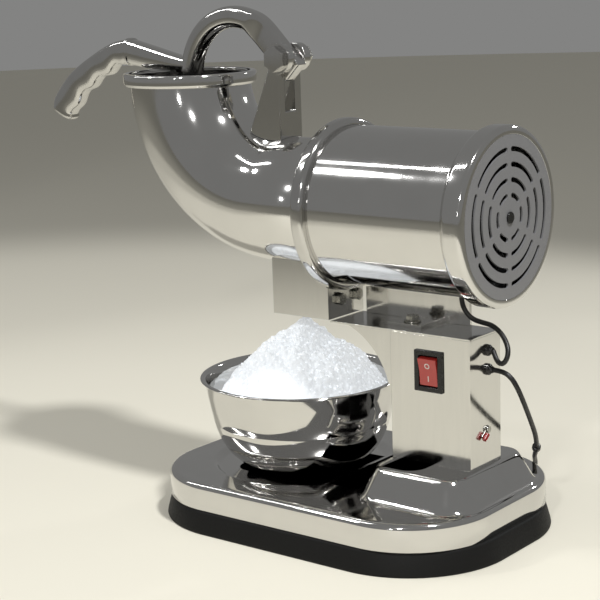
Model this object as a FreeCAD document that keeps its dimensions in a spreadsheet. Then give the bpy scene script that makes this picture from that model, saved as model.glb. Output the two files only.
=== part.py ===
"""Countertop shaved ice machine: curved hopper, lever press, motor and bowl stand.

The frame has +Z up, +X towards the motor's air grille, -Y towards the switch, and its
origin on the surface the machine stands on, under the middle of the base. All sizes are
millimetres. Driving sizes are in the spreadsheet called dims, and the objects are bound
to them with expressions.
"""
import FreeCAD, Part
import math
import os
import Sketcher

from FreeCAD import Placement, Rotation, Vector

DIMENSIONS = {
    # base and rubber foot
    "base_length": 306, "base_width": 212, "base_corner": 74, "base_low": 18.5, "base_high": 41,
    "foot_length": 320, "foot_width": 222, "foot_corner": 86, "foot_floor": 3, "sheet_wall": 1.2,
    "recess_radius": 77, "recess_depth": 4, "pedestal_high": 64.7,
    # column, neck and chute
    "column_left": 55, "column_right": 129, "column_half": 22, "neck_high": 170,
    "neck_sheet": 1.5, "gusset_radius": 66, "chute_left": -61.5, "chute_right": -4.4,
    "chute_half": 24, "chute_wall": 2,
    # motor line
    "motor_high": 262.6, "housing_radius": 63.8, "housing_wall": 1.5, "housing_end": 131,
    "ring_radius": 69.4, "ring_half": 6, "end_face": 151.5, "cover_radius": 62.4, "cover_wall": 1.5,
    "shaft_radius": 7, "bearing_radius": 17.5, "bearing_width": 11, "running_gap": 0.05,
    "stator_start": 40, "stator_end": 95, "stator_bore": 33, "rotor_radius": 32.5,
    # hopper
    "mouth_x": -164.4, "mouth_high": 365.3, "bend_radius": 100, "elbow_radius": 51.5,
    "elbow_wall": 3, "collar_radius": 56.8, "collar_height": 10.5,
    # lever and its clevis
    "pivot_x": -55.5, "pivot_high": 378.3, "pivot_radius": 4, "ear_gap": 6.5, "ear_wall": 8,
    "bushing_radius": 5.2, "block_half": 6, "block_length": 42,
    "arch_x": -112, "arch_high": 362, "arch_radius": 49, "lever_half": 8.5, "lever_depth": 18,
    "leg_low": 334, "arm_seam": -233, "presser_radius": 34, "presser_wall": 4,
    # bowl
    "bowl_x": -53.7, "bowl_rim": 85.4, "bowl_high": 115.6, "bowl_low": 38,
    # switch
    "switch_x": 91.5, "switch_high": 140.5, "bezel_width": 26, "bezel_height": 33,
    # cords
    "cord_radius": 2, "coil_x": 10, "coil_y": 156.5, "coil_middle": 24, "coil_section": 12.3,
}

doc = FreeCAD.newDocument("shaved_ice_machine")
sheet = doc.addObject("Spreadsheet::Sheet", "dims")
for row, (alias, number) in enumerate(DIMENSIONS.items(), start=1):
    sheet.set("A%d" % row, alias)
    sheet.set("B%d" % row, str(number))
    sheet.setAlias("B%d" % row, alias)
doc.recompute()


class Size:
    """A length that carries its value and the spreadsheet expression it comes from."""

    def __init__(self, value, text):
        self.value = value
        self.text = text

    def _with(self, other, sign, value):
        text = other.text if isinstance(other, Size) else repr(other)
        return Size(value, "(%s %s %s)" % (self.text, sign, text))

    def __add__(self, other):
        return self._with(other, "+", self.value + float(other))

    def __sub__(self, other):
        return self._with(other, "-", self.value - float(other))

    def __rsub__(self, other):
        return Size(other - self.value, "(%r - %s)" % (other, self.text))

    def __mul__(self, other):
        return self._with(other, "*", self.value * float(other))

    def __truediv__(self, other):
        return self._with(other, "/", self.value / float(other))

    def __neg__(self):
        return Size(-self.value, "(0 - %s)" % self.text)

    def __float__(self):
        return float(self.value)

    __radd__ = __add__
    __rmul__ = __mul__


class Dims:
    """Reads one driving size from the sheet, as dims.name in the code."""

    def __getattr__(self, alias):
        return Size(float(sheet.get(alias)), "dims." + alias)


dims = Dims()
FINISHED = {}


def bind(item, path, size):
    """Binds one property of an object to the expression of a size."""
    if isinstance(size, Size):
        item.setExpression(path, size.text)


def place(item, corner, rotation=None):
    """Puts an object at a corner, with its placement bound to the sheet."""
    item.Placement = Placement(Vector(*[float(c) for c in corner]), rotation or Rotation())
    for axis, size in zip("xyz", corner):
        bind(item, "Placement.Base." + axis, size)
    return item


def keep(label, item):
    """Names a finished sub-part."""
    item.Label = label
    FINISHED[label] = item
    return item


def block(name, low, high):
    """A box between two opposite corners."""
    box = doc.addObject("Part::Box", name)
    for side, start, end in zip(("Length", "Width", "Height"), low, high):
        setattr(box, side, float(end) - float(start))
        span = end - start
        bind(box, side, span)
    return place(box, low)


TURN = {
    "X": Rotation(Vector(0, 1, 0), 90),
    "Y": Rotation(Vector(1, 0, 0), -90),
    "Z": Rotation(),
}


def rod(name, start, radius, length, axis="X"):
    """A cylinder that starts at a point and runs along one axis."""
    cylinder = doc.addObject("Part::Cylinder", name)
    cylinder.Radius = float(radius)
    cylinder.Height = float(length)
    bind(cylinder, "Radius", radius)
    bind(cylinder, "Height", length)
    return place(cylinder, start, TURN[axis])


def hexagon(name, start, radius, length, axis="X"):
    """A six-sided prism, as a bolt's head or a nut."""
    prism = doc.addObject("Part::Prism", name)
    prism.Polygon = 6
    prism.Circumradius = float(radius)
    prism.Height = float(length)
    return place(prism, start, TURN[axis])


def joined(name, *items):
    """Several overlapping or separate objects as one."""
    union = doc.addObject("Part::MultiFuse", name)
    union.Shapes = list(items)
    return union


def grouped(name, *items):
    """Separate solids that share one node."""
    group = doc.addObject("Part::Compound", name)
    group.Links = list(items)
    return group


def cut(name, base, *tools):
    """One object with others taken away from it."""
    result = doc.addObject("Part::Cut", name)
    result.Base = base
    result.Tool = tools[0] if len(tools) == 1 else joined(name + "_tools", *tools)
    return result


def formed(name, shape):
    """A feature whose shape comes from Part's own functions."""
    feature = doc.addObject("Part::Feature", name)
    feature.Shape = shape
    feature.Placement = shape.Placement
    return feature


def origin_plane(body, role):
    """A body's own origin plane."""
    return [item for item in body.Origin.OriginFeatures if item.Role == role][0]


def turned(name, outline, axis, corner):
    """A body of revolution from a closed outline of (along, radius) or (radius, height) points."""
    body = doc.addObject("PartDesign::Body", name)
    sketch = body.newObject("Sketcher::SketchObject", name + "_sketch")
    sketch.AttachmentSupport = [(origin_plane(body, "XZ_Plane"), "")]
    sketch.MapMode = "FlatFace"
    count = len(outline)
    points = [Vector(float(across), float(upward), 0) for across, upward in outline]
    for index in range(count):
        sketch.addGeometry(Part.LineSegment(points[index], points[(index + 1) % count]), False)
    for index in range(count):
        following = (index + 1) % count
        sketch.addConstraint(Sketcher.Constraint("Coincident", index, 2, following, 1))
    for index, (across, upward) in enumerate(outline):
        for kind, size in (("DistanceX", across), ("DistanceY", upward)):
            if float(size) == 0:
                line = -2 if kind == "DistanceX" else -1
                sketch.addConstraint(Sketcher.Constraint("PointOnObject", index, 1, line))
                continue
            constraint = sketch.addConstraint(
                Sketcher.Constraint(kind, -1, 1, index, 1, float(size)))
            bind(sketch, "Constraints[%d]" % constraint, size)
    revolution = body.newObject("PartDesign::Revolution", name + "_turn")
    revolution.Profile = sketch
    revolution.ReferenceAxis = (sketch, ["H_Axis" if axis == "X" else "V_Axis"])
    revolution.Angle = 360
    return place(body, corner)


def washer(name, x_start, x_end, outer, inner):
    """A flat ring on the motor's axis."""
    return turned(name, [(x_start, inner), (x_end, inner), (x_end, outer), (x_start, outer)],
                  "X", (0, 0, dims.motor_high))


def rounded_plate(length, width, corner, low, high, taper=0.0, middle=(0.0, 0.0)):
    """A solid with a rounded-rectangle plan that may narrow by taper towards its top."""
    rings = []
    for height, shrink in ((low, 0.0), (high, taper)):
        half_x, half_y, radius = length / 2 - shrink, width / 2 - shrink, corner - shrink
        turn = radius * math.sqrt(0.5)
        edges = []
        corners = ((1, 1), (-1, 1), (-1, -1), (1, -1))
        ends = []
        for side_x, side_y in corners:
            cx = middle[0] + side_x * (half_x - radius)
            cy = middle[1] + side_y * (half_y - radius)
            first = Vector(cx + side_x * radius, cy, height)
            second = Vector(cx, cy + side_y * radius, height)
            halfway = Vector(cx + side_x * turn, cy + side_y * turn, height)
            if side_x * side_y < 0:
                first, second = second, first
            ends.append((first, halfway, second))
        for index, (first, halfway, second) in enumerate(ends):
            edges.append(Part.Arc(first, halfway, second).toShape())
            onward = ends[(index + 1) % 4][0]
            edges.append(Part.LineSegment(second, onward).toShape())
        rings.append(Part.Wire(edges))
    return Part.makeLoft(rings, True, True)


def prism_xz(points, y_low, y_high):
    """A flat outline in the XZ plane, given a thickness along Y."""
    wire = Part.makePolygon([Vector(x, y_low, z) for x, z in points + [points[0]]])
    return Part.Face(wire).extrude(Vector(0, y_high - y_low, 0))


def number(alias):
    """One driving size as a plain number."""
    return float(sheet.get(alias))


# ---------------------------------------------------------------- base


PEDESTAL_LENGTH, PEDESTAL_WIDTH, PEDESTAL_CORNER = 111, 136, 30
PEDESTAL_TAPER, PEDESTAL_X = 18.0, 93.5
TRAY_FILLET = 5
RECESS_SLOPE = 6


def pedestal(shrink):
    """The raised seat under the column, with sloping sides."""
    low, high = number("base_high") - 1 - shrink, number("pedestal_high") - shrink
    return rounded_plate(PEDESTAL_LENGTH - 2 * shrink, PEDESTAL_WIDTH - 2 * shrink,
                         PEDESTAL_CORNER - shrink, low, high,
                         taper=PEDESTAL_TAPER, middle=(PEDESTAL_X, 0.0))


def tray(shrink):
    """The pressed tray: straight skirt, rounded top edge and the pedestal."""
    low = number("base_low")
    body = rounded_plate(number("base_length") - 2 * shrink, number("base_width") - 2 * shrink,
                         number("base_corner") - shrink, low, number("base_high") - shrink)
    top = number("base_high") - shrink
    edges = [edge for edge in body.Edges
             if all(abs(vertex.Point.z - top) < 0.01 for vertex in edge.Vertexes)]
    return body.makeFillet(TRAY_FILLET - shrink, edges).fuse(pedestal(shrink)).removeSplitter()


wall = number("sheet_wall")
recess_floor = number("base_high") - number("recess_depth")


def recess_room(thickness):
    """The shallow round seat for the bowl, or its underside when given the sheet's thickness."""
    edge = number("recess_radius") + thickness
    return Part.makeCone(edge - RECESS_SLOPE, edge, number("recess_depth") + 0.01,
                         Vector(number("bowl_x"), 0, recess_floor - thickness))


inside = tray(wall).cut(recess_room(wall))
keep("base_shell", formed("base_shell", tray(0.0).cut(recess_room(0.0)).cut(inside)))

INNER_PLAN = (296, 202, 69)
POST_PLACES = [(x, y) for x in (-118, 118) for y in (-68, 68)]
POST_RADIUS, SCREW_RADIUS, SCREW_CLEARANCE = 5.0, 2.0, 0.1
SCREW_LENGTH, SCREW_HEAD_RADIUS, SCREW_HEAD = 12.0, 4.0, 1.8
PLATE_LOW, PLATE_SHEET = number("foot_floor"), 1.5

post_low = PLATE_LOW + PLATE_SHEET
post_length = number("base_high") - wall - post_low
bore = SCREW_RADIUS + SCREW_CLEARANCE
foot = rounded_plate(number("foot_length"), number("foot_width"), number("foot_corner"),
                     0, number("base_low"), taper=5.5)
foot = foot.cut(rounded_plate(*INNER_PLAN, PLATE_LOW, number("base_low")))
bottom_plate = rounded_plate(*INNER_PLAN, PLATE_LOW, post_low)
posts, base_screws = [], []
for post_x, post_y in POST_PLACES:
    at_plate, at_post = Vector(post_x, post_y, PLATE_LOW), Vector(post_x, post_y, post_low)
    bottom_plate = bottom_plate.cut(Part.makeCylinder(bore, PLATE_SHEET, at_plate))
    tube = Part.makeCylinder(POST_RADIUS, post_length, at_post)
    posts.append(tube.cut(Part.makeCylinder(bore, SCREW_LENGTH + 2, at_post)))
    shank = Part.makeCylinder(SCREW_RADIUS, SCREW_LENGTH, at_plate)
    head = Part.makeCylinder(SCREW_HEAD_RADIUS, SCREW_HEAD, at_plate - Vector(0, 0, SCREW_HEAD))
    base_screws.append(shank.fuse(head))
    foot = foot.cut(Part.makeCylinder(SCREW_HEAD_RADIUS + 0.5, PLATE_LOW + 1,
                                      Vector(post_x, post_y, -1)))
keep("rubber_foot", formed("rubber_foot", foot))
keep("base_plate", formed("base_plate", bottom_plate))
keep("base_posts", formed("base_posts", Part.makeCompound(posts)))
keep("base_screws", formed("base_screws", Part.makeCompound(base_screws)))

# ---------------------------------------------------------------- column and neck

sheet_wall = dims.sheet_wall
column_top = dims.neck_high - dims.neck_sheet
column_outer = block("column_outer", (dims.column_left, -dims.column_half, dims.pedestal_high),
                     (dims.column_right, dims.column_half, column_top))
column_inner = block(
    "column_inner",
    (dims.column_left + sheet_wall, -dims.column_half + sheet_wall, dims.pedestal_high - 1),
    (dims.column_right - sheet_wall, dims.column_half - sheet_wall, column_top + 1))
BODY_HALF_X, BODY_HALF_Z = 11.5, 14.8
switch_window = block(
    "switch_window",
    (dims.switch_x - BODY_HALF_X, -dims.column_half - 1, dims.switch_high - BODY_HALF_Z),
    (dims.switch_x + BODY_HALF_X, -dims.column_half + 3, dims.switch_high + BODY_HALF_Z))
GLAND_Y, UPPER_GLAND_Z, LOWER_GLAND_Z = 3.0, 157.0, 141.7
EARTH_Y, EARTH_Z = 1.8, 93.5
GLAND_RADIUS = 3.1
wall_x = dims.column_right - 3
gland_holes = [rod("gland_hole_%d" % index, (wall_x, GLAND_Y, height), GLAND_RADIUS, 5)
               for index, height in enumerate((UPPER_GLAND_Z, LOWER_GLAND_Z))]
earth_hole = rod("earth_hole", (wall_x, EARTH_Y, EARTH_Z), 1.5, 5)
keep("column_shell", cut("column_shell", column_outer, column_inner, switch_window,
                         earth_hole, *gland_holes))

neck_blank = block("neck_blank", (dims.chute_right, -dims.column_half, column_top),
                   (dims.column_right, dims.column_half, dims.neck_high))
BRACKET_BOLT_X, BRACKET_HOLE = 61.5, 3.1
bolt_hole = rod("neck_bolt_hole", (BRACKET_BOLT_X, 0, dims.neck_high - 4),
                BRACKET_HOLE, 8, "Z")
keep("neck_plate", cut("neck_plate", neck_blank, bolt_hole))

GUSSET_X, GUSSET_Z, GUSSET_START = -11.0, 107.5, 14.0


def gusset_solid(radius, half):
    """The solid between the round throat, the neck plate and the column."""
    top = number("neck_high") - number("neck_sheet")
    solid = Part.makeBox(number("column_left") - GUSSET_START, 2 * half, top - GUSSET_Z,
                         Vector(GUSSET_START, -half, GUSSET_Z))
    throat = Part.makeCylinder(radius, 2 * half + 2, Vector(GUSSET_X, -half - 1, GUSSET_Z),
                               Vector(0, 1, 0))
    return solid.cut(throat)


gusset = gusset_solid(number("gusset_radius"), number("column_half"))
gusset_room = gusset_solid(number("gusset_radius") + wall, number("column_half") - wall)
keep("neck_gusset", formed("neck_gusset", gusset.cut(gusset_room)))

# ---------------------------------------------------------------- hopper elbow

BEND_CENTRE = Vector(number("mouth_x") + number("bend_radius"), 0,
                     number("motor_high") + number("bend_radius"))
ELBOW_END = 0.0


def elbow_solid(radius, mouth_extra=0.0, end_extra=0.0):
    """The bent tube as one solid, from the mouth down and round to the motor's front."""
    straight_up = Part.makeCylinder(
        radius, number("mouth_high") - BEND_CENTRE.z + mouth_extra,
        Vector(number("mouth_x"), 0, BEND_CENTRE.z))
    ring = Part.Wire(Part.Circle(Vector(number("mouth_x"), 0, BEND_CENTRE.z),
                                 Vector(0, 0, 1), radius).toShape())
    bend = Part.Face(ring).revolve(BEND_CENTRE, Vector(0, 1, 0), -90)
    along = Part.makeCylinder(radius, ELBOW_END + end_extra - BEND_CENTRE.x,
                              Vector(BEND_CENTRE.x, 0, number("motor_high")), Vector(1, 0, 0))
    return straight_up.fuse([bend, along]).removeSplitter()


elbow_outer = elbow_solid(number("elbow_radius"))
elbow_inner = elbow_solid(number("elbow_radius") - number("elbow_wall"), 5.0, 5.0)
chute_inner_half = number("chute_half") - number("chute_wall")
chute_in_left = number("chute_left") + number("chute_wall")
chute_in_right = number("chute_right") - number("chute_wall")
chute_low = number("neck_high") + 0.6
CHUTE_HIGH, HOLE_LOW = 60.0, 185.0
chute_hole = Part.makeBox(chute_in_right - chute_in_left, 2 * chute_inner_half, CHUTE_HIGH,
                          Vector(chute_in_left, -chute_inner_half, HOLE_LOW))
keep("hopper_elbow", formed("hopper_elbow", elbow_outer.cut(elbow_inner).cut(chute_hole)))

collar_low = dims.mouth_high - dims.collar_height
keep("hopper_collar", turned(
    "hopper_collar",
    [(dims.elbow_radius, collar_low), (dims.collar_radius - 1.5, collar_low),
     (dims.collar_radius, collar_low + 1.5), (dims.collar_radius, dims.mouth_high - 2),
     (dims.collar_radius - 2, dims.mouth_high), (dims.elbow_radius, dims.mouth_high)],
    "Z", (dims.mouth_x, 0, 0)))

BOLT_PLACES = [(-9.0, 186.0), (14.0, 186.0)]
CHUTE_BOLT_RADIUS = 2.5
chute = Part.makeBox(number("chute_right") - number("chute_left"), 2 * number("chute_half"),
                     CHUTE_HIGH, Vector(number("chute_left"), -number("chute_half"), chute_low))
chute = chute.cut(Part.makeBox(chute_in_right - chute_in_left, 2 * chute_inner_half,
                               CHUTE_HIGH + 2,
                               Vector(chute_in_left, -chute_inner_half, chute_low - 1)))
ring_room = Part.makeCylinder(number("ring_radius"), number("ring_half") * 2,
                              Vector(-number("ring_half"), 0, number("motor_high")),
                              Vector(1, 0, 0))
chute = chute.cut(elbow_outer).cut(ring_room)
for bolt_y, bolt_z in BOLT_PLACES:
    chute = chute.cut(Part.makeCylinder(
        CHUTE_BOLT_RADIUS, 10, Vector(number("chute_right") - 5, bolt_y, bolt_z), Vector(1, 0, 0)))
keep("discharge_chute", formed("discharge_chute", chute))


def chute_bolt(index, y, z):
    """A hex bolt whose head faces +X, with its shank through the chute's wall."""
    name = "chute_bolt_%d" % index
    head = hexagon(name + "_head", (dims.chute_right, y, z), 5.2, 4.0)
    shank = rod(name + "_shank", (dims.chute_right - 4.0, y, z), CHUTE_BOLT_RADIUS, 5.0)
    return joined(name, head, shank)


keep("chute_bolts", grouped("chute_bolts", *[
    chute_bolt(index, y, z) for index, (y, z) in enumerate(BOLT_PLACES)]))

# ---------------------------------------------------------------- clevis bracket and pivot

EAR_TOP_RADIUS, EAR_LOW = 11.5, 300.0
EAR_LEFT, EAR_RIGHT = -95.4, -55.5
half_gap, ear_wall = number("ear_gap"), number("ear_wall")
pivot = (number("pivot_x"), number("pivot_high"))


def ear(y_low):
    """One tapering ear with a round end about the pivot."""
    plate = prism_xz([(EAR_LEFT, EAR_LOW), (EAR_RIGHT, EAR_LOW), (EAR_RIGHT, pivot[1]),
                      (pivot[0] - EAR_TOP_RADIUS + 1, pivot[1] - 9)], y_low, y_low + ear_wall)
    eye = Part.makeCylinder(EAR_TOP_RADIUS, ear_wall, Vector(pivot[0], y_low, pivot[1]),
                            Vector(0, 1, 0))
    return plate.fuse(eye).removeSplitter()


WEB_WALL, WEB_HIGH = 5.0, 335.3
web = Part.makeBox(WEB_WALL, 2 * half_gap, WEB_HIGH - EAR_LOW,
                   Vector(EAR_RIGHT - WEB_WALL, -half_gap, EAR_LOW))
bracket = ear(-half_gap - ear_wall).fuse([ear(half_gap), web]).removeSplitter()
bracket = bracket.cut(elbow_outer)
bracket = bracket.cut(Part.makeCylinder(number("pivot_radius"), 60,
                                        Vector(pivot[0], -30, pivot[1]), Vector(0, 1, 0)))
keep("clevis_bracket", formed("clevis_bracket", bracket))

outer_y = dims.ear_gap + dims.ear_wall
pivot_shank = rod("pivot_shank", (dims.pivot_x, -outer_y, dims.pivot_high), dims.pivot_radius,
                  outer_y * 2 + 8, "Y")
FLANGE_RADIUS, FLANGE, HEAD_RADIUS, HEAD = 12.5, 1.5, 10.5, 5.0
NUT_RADIUS, NUT = 9.0, 6.0
pivot_flange = rod("pivot_flange", (dims.pivot_x, -outer_y - FLANGE, dims.pivot_high),
                   FLANGE_RADIUS, FLANGE, "Y")
pivot_head = hexagon("pivot_head", (dims.pivot_x, -outer_y - FLANGE - HEAD, dims.pivot_high),
                     HEAD_RADIUS, HEAD + 0.5, "Y")
pivot_head.Placement.Rotation = TURN["Y"].multiply(Rotation(Vector(0, 0, 1), 30))
keep("pivot_bolt", joined("pivot_bolt", pivot_shank, pivot_flange, pivot_head))
nut_blank = hexagon("nut_blank", (dims.pivot_x, outer_y, dims.pivot_high),
                    NUT_RADIUS, NUT, "Y")
nut_hole = rod("nut_hole", (dims.pivot_x, outer_y - 1, dims.pivot_high), dims.pivot_radius,
               NUT + 3, "Y")
keep("pivot_nut", cut("pivot_nut", nut_blank, nut_hole))

# ---------------------------------------------------------------- lever

lever_half, lever_depth = number("lever_half"), number("lever_depth")
arch_centre = Vector(number("arch_x"), 0, number("arch_high"))
arch_radius = number("arch_radius")
DIAGONAL = math.sqrt(0.5)


def rounded_section(centre, half_y, half_z, corner):
    """A rounded rectangle in the plane X = constant."""
    box = Part.makeBox(1, 2 * half_y, 2 * half_z, Vector(centre.x, -half_y, centre.z - half_z))
    edges = [edge for edge in box.Edges
             if abs(edge.Vertexes[0].Point.x - edge.Vertexes[-1].Point.x) > 0.5]
    soft = box.makeFillet(corner, edges)
    return [face for face in soft.Faces if abs(face.CenterOfMass.x - centre.x) < 1e-6][0]


ARM_CORNER = 7.0
crown = rounded_section(Vector(arch_centre.x, 0, arch_centre.z + arch_radius), lever_half,
                        lever_depth / 2, ARM_CORNER)
arch_left = crown.revolve(arch_centre, Vector(0, 1, 0), -90)
arch_right = crown.revolve(arch_centre, Vector(0, 1, 0), 45)
leg = crown.copy()
leg.rotate(arch_centre, Vector(0, 1, 0), -90)
leg = leg.extrude(Vector(0, 0, number("leg_low") - arch_centre.z))
block_start = arch_centre + Vector(arch_radius * DIAGONAL, 0, arch_radius * DIAGONAL)
block_half, BLOCK_DEPTH = number("block_half"), 20.0
end_block = Part.makeBox(number("block_length"), 2 * block_half, BLOCK_DEPTH,
                         Vector(0, -block_half, lever_depth / 2 - BLOCK_DEPTH))
end_block = end_block.makeFillet(2.0, end_block.Edges)
end_block.Placement = Placement(block_start, Rotation(Vector(0, 1, 0), 45))
seam = number("arm_seam")
ARM_OUTLINE = [(-158, 364), (-158, 375.5), (-185, 381), (-210, 387), (seam, 392), (seam, 370.5),
               (-205, 366.5)]
arm = prism_xz(ARM_OUTLINE, -lever_half, lever_half)
bushing_hole = Part.makeCylinder(number("bushing_radius"), 60,
                                 Vector(pivot[0], -30, pivot[1]), Vector(0, 1, 0))
lever = arch_left.fuse([arch_right, leg, end_block, arm]).removeSplitter().cut(bushing_hole)
keep("lever_arm", formed("lever_arm", lever))

keep("pivot_bushing", cut(
    "pivot_bushing",
    rod("bushing_outer", (dims.pivot_x, -dims.block_half, dims.pivot_high), dims.bushing_radius,
        dims.block_half * 2, "Y"),
    rod("bushing_bore", (dims.pivot_x, -dims.block_half - 1, dims.pivot_high),
        dims.pivot_radius + dims.running_gap, dims.block_half * 2 + 2, "Y")))

GRIP_BACK = [(seam, 392), (-247.6, 389.6), (-261.7, 384.7), (-276.2, 377.7), (-290.9, 370.1),
             (-302.2, 363), (-312.2, 354.8), (-320.3, 346.6), (-326.8, 338.4), (-328.9, 331.2)]
GRIP_FRONT = [(-307, 320.5), (-303, 329), (-295, 336), (-287, 344.5), (-277, 351), (-268, 358),
              (-256, 361.5), (-246, 367.5), (seam, 370.5)]
GRIP_HALF = 8.0


def grip_edge(points):
    """A smooth edge through hand-placed points."""
    curve = Part.BSplineCurve()
    curve.interpolate([Vector(x, -GRIP_HALF, z) for x, z in points])
    return curve.toShape()


def grip_line(start, end):
    """A straight edge between two points of the grip's outline."""
    spots = [Vector(x, -GRIP_HALF, z) for x, z in (start, end)]
    return Part.LineSegment(*spots).toShape()


grip_wire = Part.Wire([grip_edge(GRIP_BACK), grip_line(GRIP_BACK[-1], GRIP_FRONT[0]),
                       grip_edge(GRIP_FRONT), grip_line(GRIP_FRONT[-1], GRIP_BACK[0])])
keep("lever_grip", formed("lever_grip", Part.Face(grip_wire).extrude(Vector(0, 2 * GRIP_HALF, 0))))

leg_x = number("arch_x") - arch_radius
PRESSER_HOLE, PRESSER_HEAD_RADIUS, PRESSER_HEAD = 3.0, 5.5, 3.0
keep("presser_plate", cut(
    "presser_plate",
    rod("presser_blank", (leg_x, 0, dims.leg_low - dims.presser_wall), dims.presser_radius,
        dims.presser_wall, "Z"),
    rod("presser_hole", (leg_x, 0, dims.leg_low - dims.presser_wall - 1), PRESSER_HOLE, 8, "Z")))
keep("presser_screw", joined(
    "presser_screw",
    rod("presser_screw_head", (leg_x, 0, dims.leg_low - dims.presser_wall - PRESSER_HEAD),
        PRESSER_HEAD_RADIUS, PRESSER_HEAD, "Z"),
    rod("presser_screw_shank", (leg_x, 0, dims.leg_low - dims.presser_wall - 1), PRESSER_HOLE,
        dims.presser_wall + 1, "Z")))

# ---------------------------------------------------------------- motor

axis_point = (0, 0, dims.motor_high)
keep("front_ring", turned(
    "front_ring",
    [(-dims.ring_half, dims.elbow_radius), (0, dims.elbow_radius), (0, dims.housing_radius),
     (dims.ring_half, dims.housing_radius), (dims.ring_half, dims.ring_radius - 2.5),
     (dims.ring_half - 2.5, dims.ring_radius), (2.5 - dims.ring_half, dims.ring_radius),
     (-dims.ring_half, dims.ring_radius - 2.5)], "X", axis_point))
housing_inner = dims.housing_radius - dims.housing_wall
keep("motor_housing", washer("motor_housing", 0, dims.housing_end, dims.housing_radius,
                             housing_inner))
end_inner = dims.cover_radius
keep("end_ring", turned(
    "end_ring",
    [(dims.housing_end, housing_inner), (dims.housing_end, dims.housing_radius + 1),
     (dims.housing_end + 4, dims.ring_radius - 1.2), (dims.housing_end + 8, dims.ring_radius),
     (dims.end_face - 4, dims.ring_radius), (dims.end_face - 1, dims.ring_radius - 2),
     (dims.end_face, dims.ring_radius - 5), (dims.end_face, end_inner),
     (dims.end_face - dims.cover_wall, end_inner), (dims.end_face - dims.cover_wall, end_inner - 3),
     (dims.end_face - 4, end_inner - 3), (dims.end_face - 4, housing_inner)], "X", axis_point))

seat = dims.bearing_radius
hub = seat + 5
SHAFT_HOLE, REAR_START = 9.0, 110.0
keep("front_plate", turned(
    "front_plate",
    [(-3, SHAFT_HOLE), (0, SHAFT_HOLE), (0, seat), (dims.bearing_width, seat),
     (dims.bearing_width, hub), (6, hub), (6, housing_inner), (0.5, housing_inner),
     (0.5, dims.elbow_radius - dims.elbow_wall),
     (-3, dims.elbow_radius - dims.elbow_wall)], "X", axis_point))
bearing_bore = dims.shaft_radius + dims.running_gap
keep("front_bearing", washer("front_bearing", 0, dims.bearing_width, seat, bearing_bore))
rear_face = REAR_START + dims.bearing_width
keep("rear_plate", turned(
    "rear_plate",
    [(REAR_START, seat), (rear_face, seat), (rear_face, SHAFT_HOLE), (rear_face + 3, SHAFT_HOLE),
     (rear_face + 3, housing_inner), (rear_face, housing_inner), (rear_face, hub),
     (REAR_START, hub)], "X", axis_point))
keep("rear_bearing", washer("rear_bearing", REAR_START, rear_face, seat, bearing_bore))
keep("stator_core", washer("stator_core", dims.stator_start, dims.stator_end, housing_inner,
                           dims.stator_bore))

WINDING_OUTER, WINDING_INNER, WINDING_ROUND = 54.0, 36.0, 4.0
FRONT_WINDING, REAR_WINDING = 27.0, 108.0


def winding(name, x_start, x_end):
    """A rounded ring of wire at one end of the stator."""
    inner, outer = WINDING_INNER + WINDING_ROUND, WINDING_OUTER - WINDING_ROUND
    return turned(name, [(x_start, inner), (x_start, outer), (x_start + 3, WINDING_OUTER),
                         (x_end - 3, WINDING_OUTER), (x_end, outer), (x_end, inner),
                         (x_end - 3, WINDING_INNER), (x_start + 3, WINDING_INNER)],
                  "X", axis_point)


keep("stator_winding", grouped("stator_winding", winding("front_winding", FRONT_WINDING,
                                                         dims.stator_start),
                               winding("rear_winding", dims.stator_end, REAR_WINDING)))

cover_face = dims.end_face - dims.cover_wall
cover_blank = rod("cover_blank", (cover_face, 0, dims.motor_high), dims.cover_radius,
                  dims.cover_wall)
SLOT_RADII = (17.0, 28.5, 40.0, 51.5)
SLOT_HALF_WIDTH = 1.9
SPOKE = 4.6
STUD_RADIUS, STUD_HEAD_RADIUS, STUD_HEAD = 2.0, 4.5, 1.5


def air_slot(radius, middle_angle):
    """One arc-shaped slot with round ends, as long as the spokes beside it allow."""
    depth = number("cover_wall") + 2
    centre = Vector(number("end_face") - number("cover_wall") - 1, 0, number("motor_high"))
    swing = 30 - math.degrees((SPOKE / 2 + SLOT_HALF_WIDTH) / radius)
    corner = centre + Vector(0, radius - SLOT_HALF_WIDTH, 0)
    across, inward = Vector(0, 2 * SLOT_HALF_WIDTH, 0), Vector(depth, 0, 0)
    outline = Part.makePolygon([corner, corner + across, corner + across + inward,
                                corner + inward, corner])
    arc = Part.Face(outline).revolve(centre, Vector(1, 0, 0), 2 * swing)
    arc.rotate(centre, Vector(1, 0, 0), middle_angle - swing)
    ends = []
    for side in (-1, 1):
        angle = math.radians(middle_angle + side * swing)
        spot = centre + Vector(0, radius * math.cos(angle), radius * math.sin(angle))
        ends.append(Part.makeCylinder(SLOT_HALF_WIDTH, depth, spot, Vector(1, 0, 0)))
    return arc.fuse(ends)


slots = [air_slot(radius, 60 * sector) for radius in SLOT_RADII for sector in range(6)]
slot_cutter = formed("slot_cutter", Part.makeCompound(slots))
centre_hole = rod("cover_centre_hole", (cover_face - 1, 0, dims.motor_high), STUD_RADIUS,
                  dims.cover_wall + 2)
keep("end_cover", cut("end_cover", cover_blank, slot_cutter, centre_hole))
keep("cover_screw", joined(
    "cover_screw",
    rod("cover_screw_shank", (cover_face - 3, 0, dims.motor_high), STUD_RADIUS,
        dims.cover_wall + 3),
    rod("cover_screw_head", (dims.end_face, 0, dims.motor_high), STUD_HEAD_RADIUS, STUD_HEAD)))

# ---------------------------------------------------------------- rotor

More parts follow.
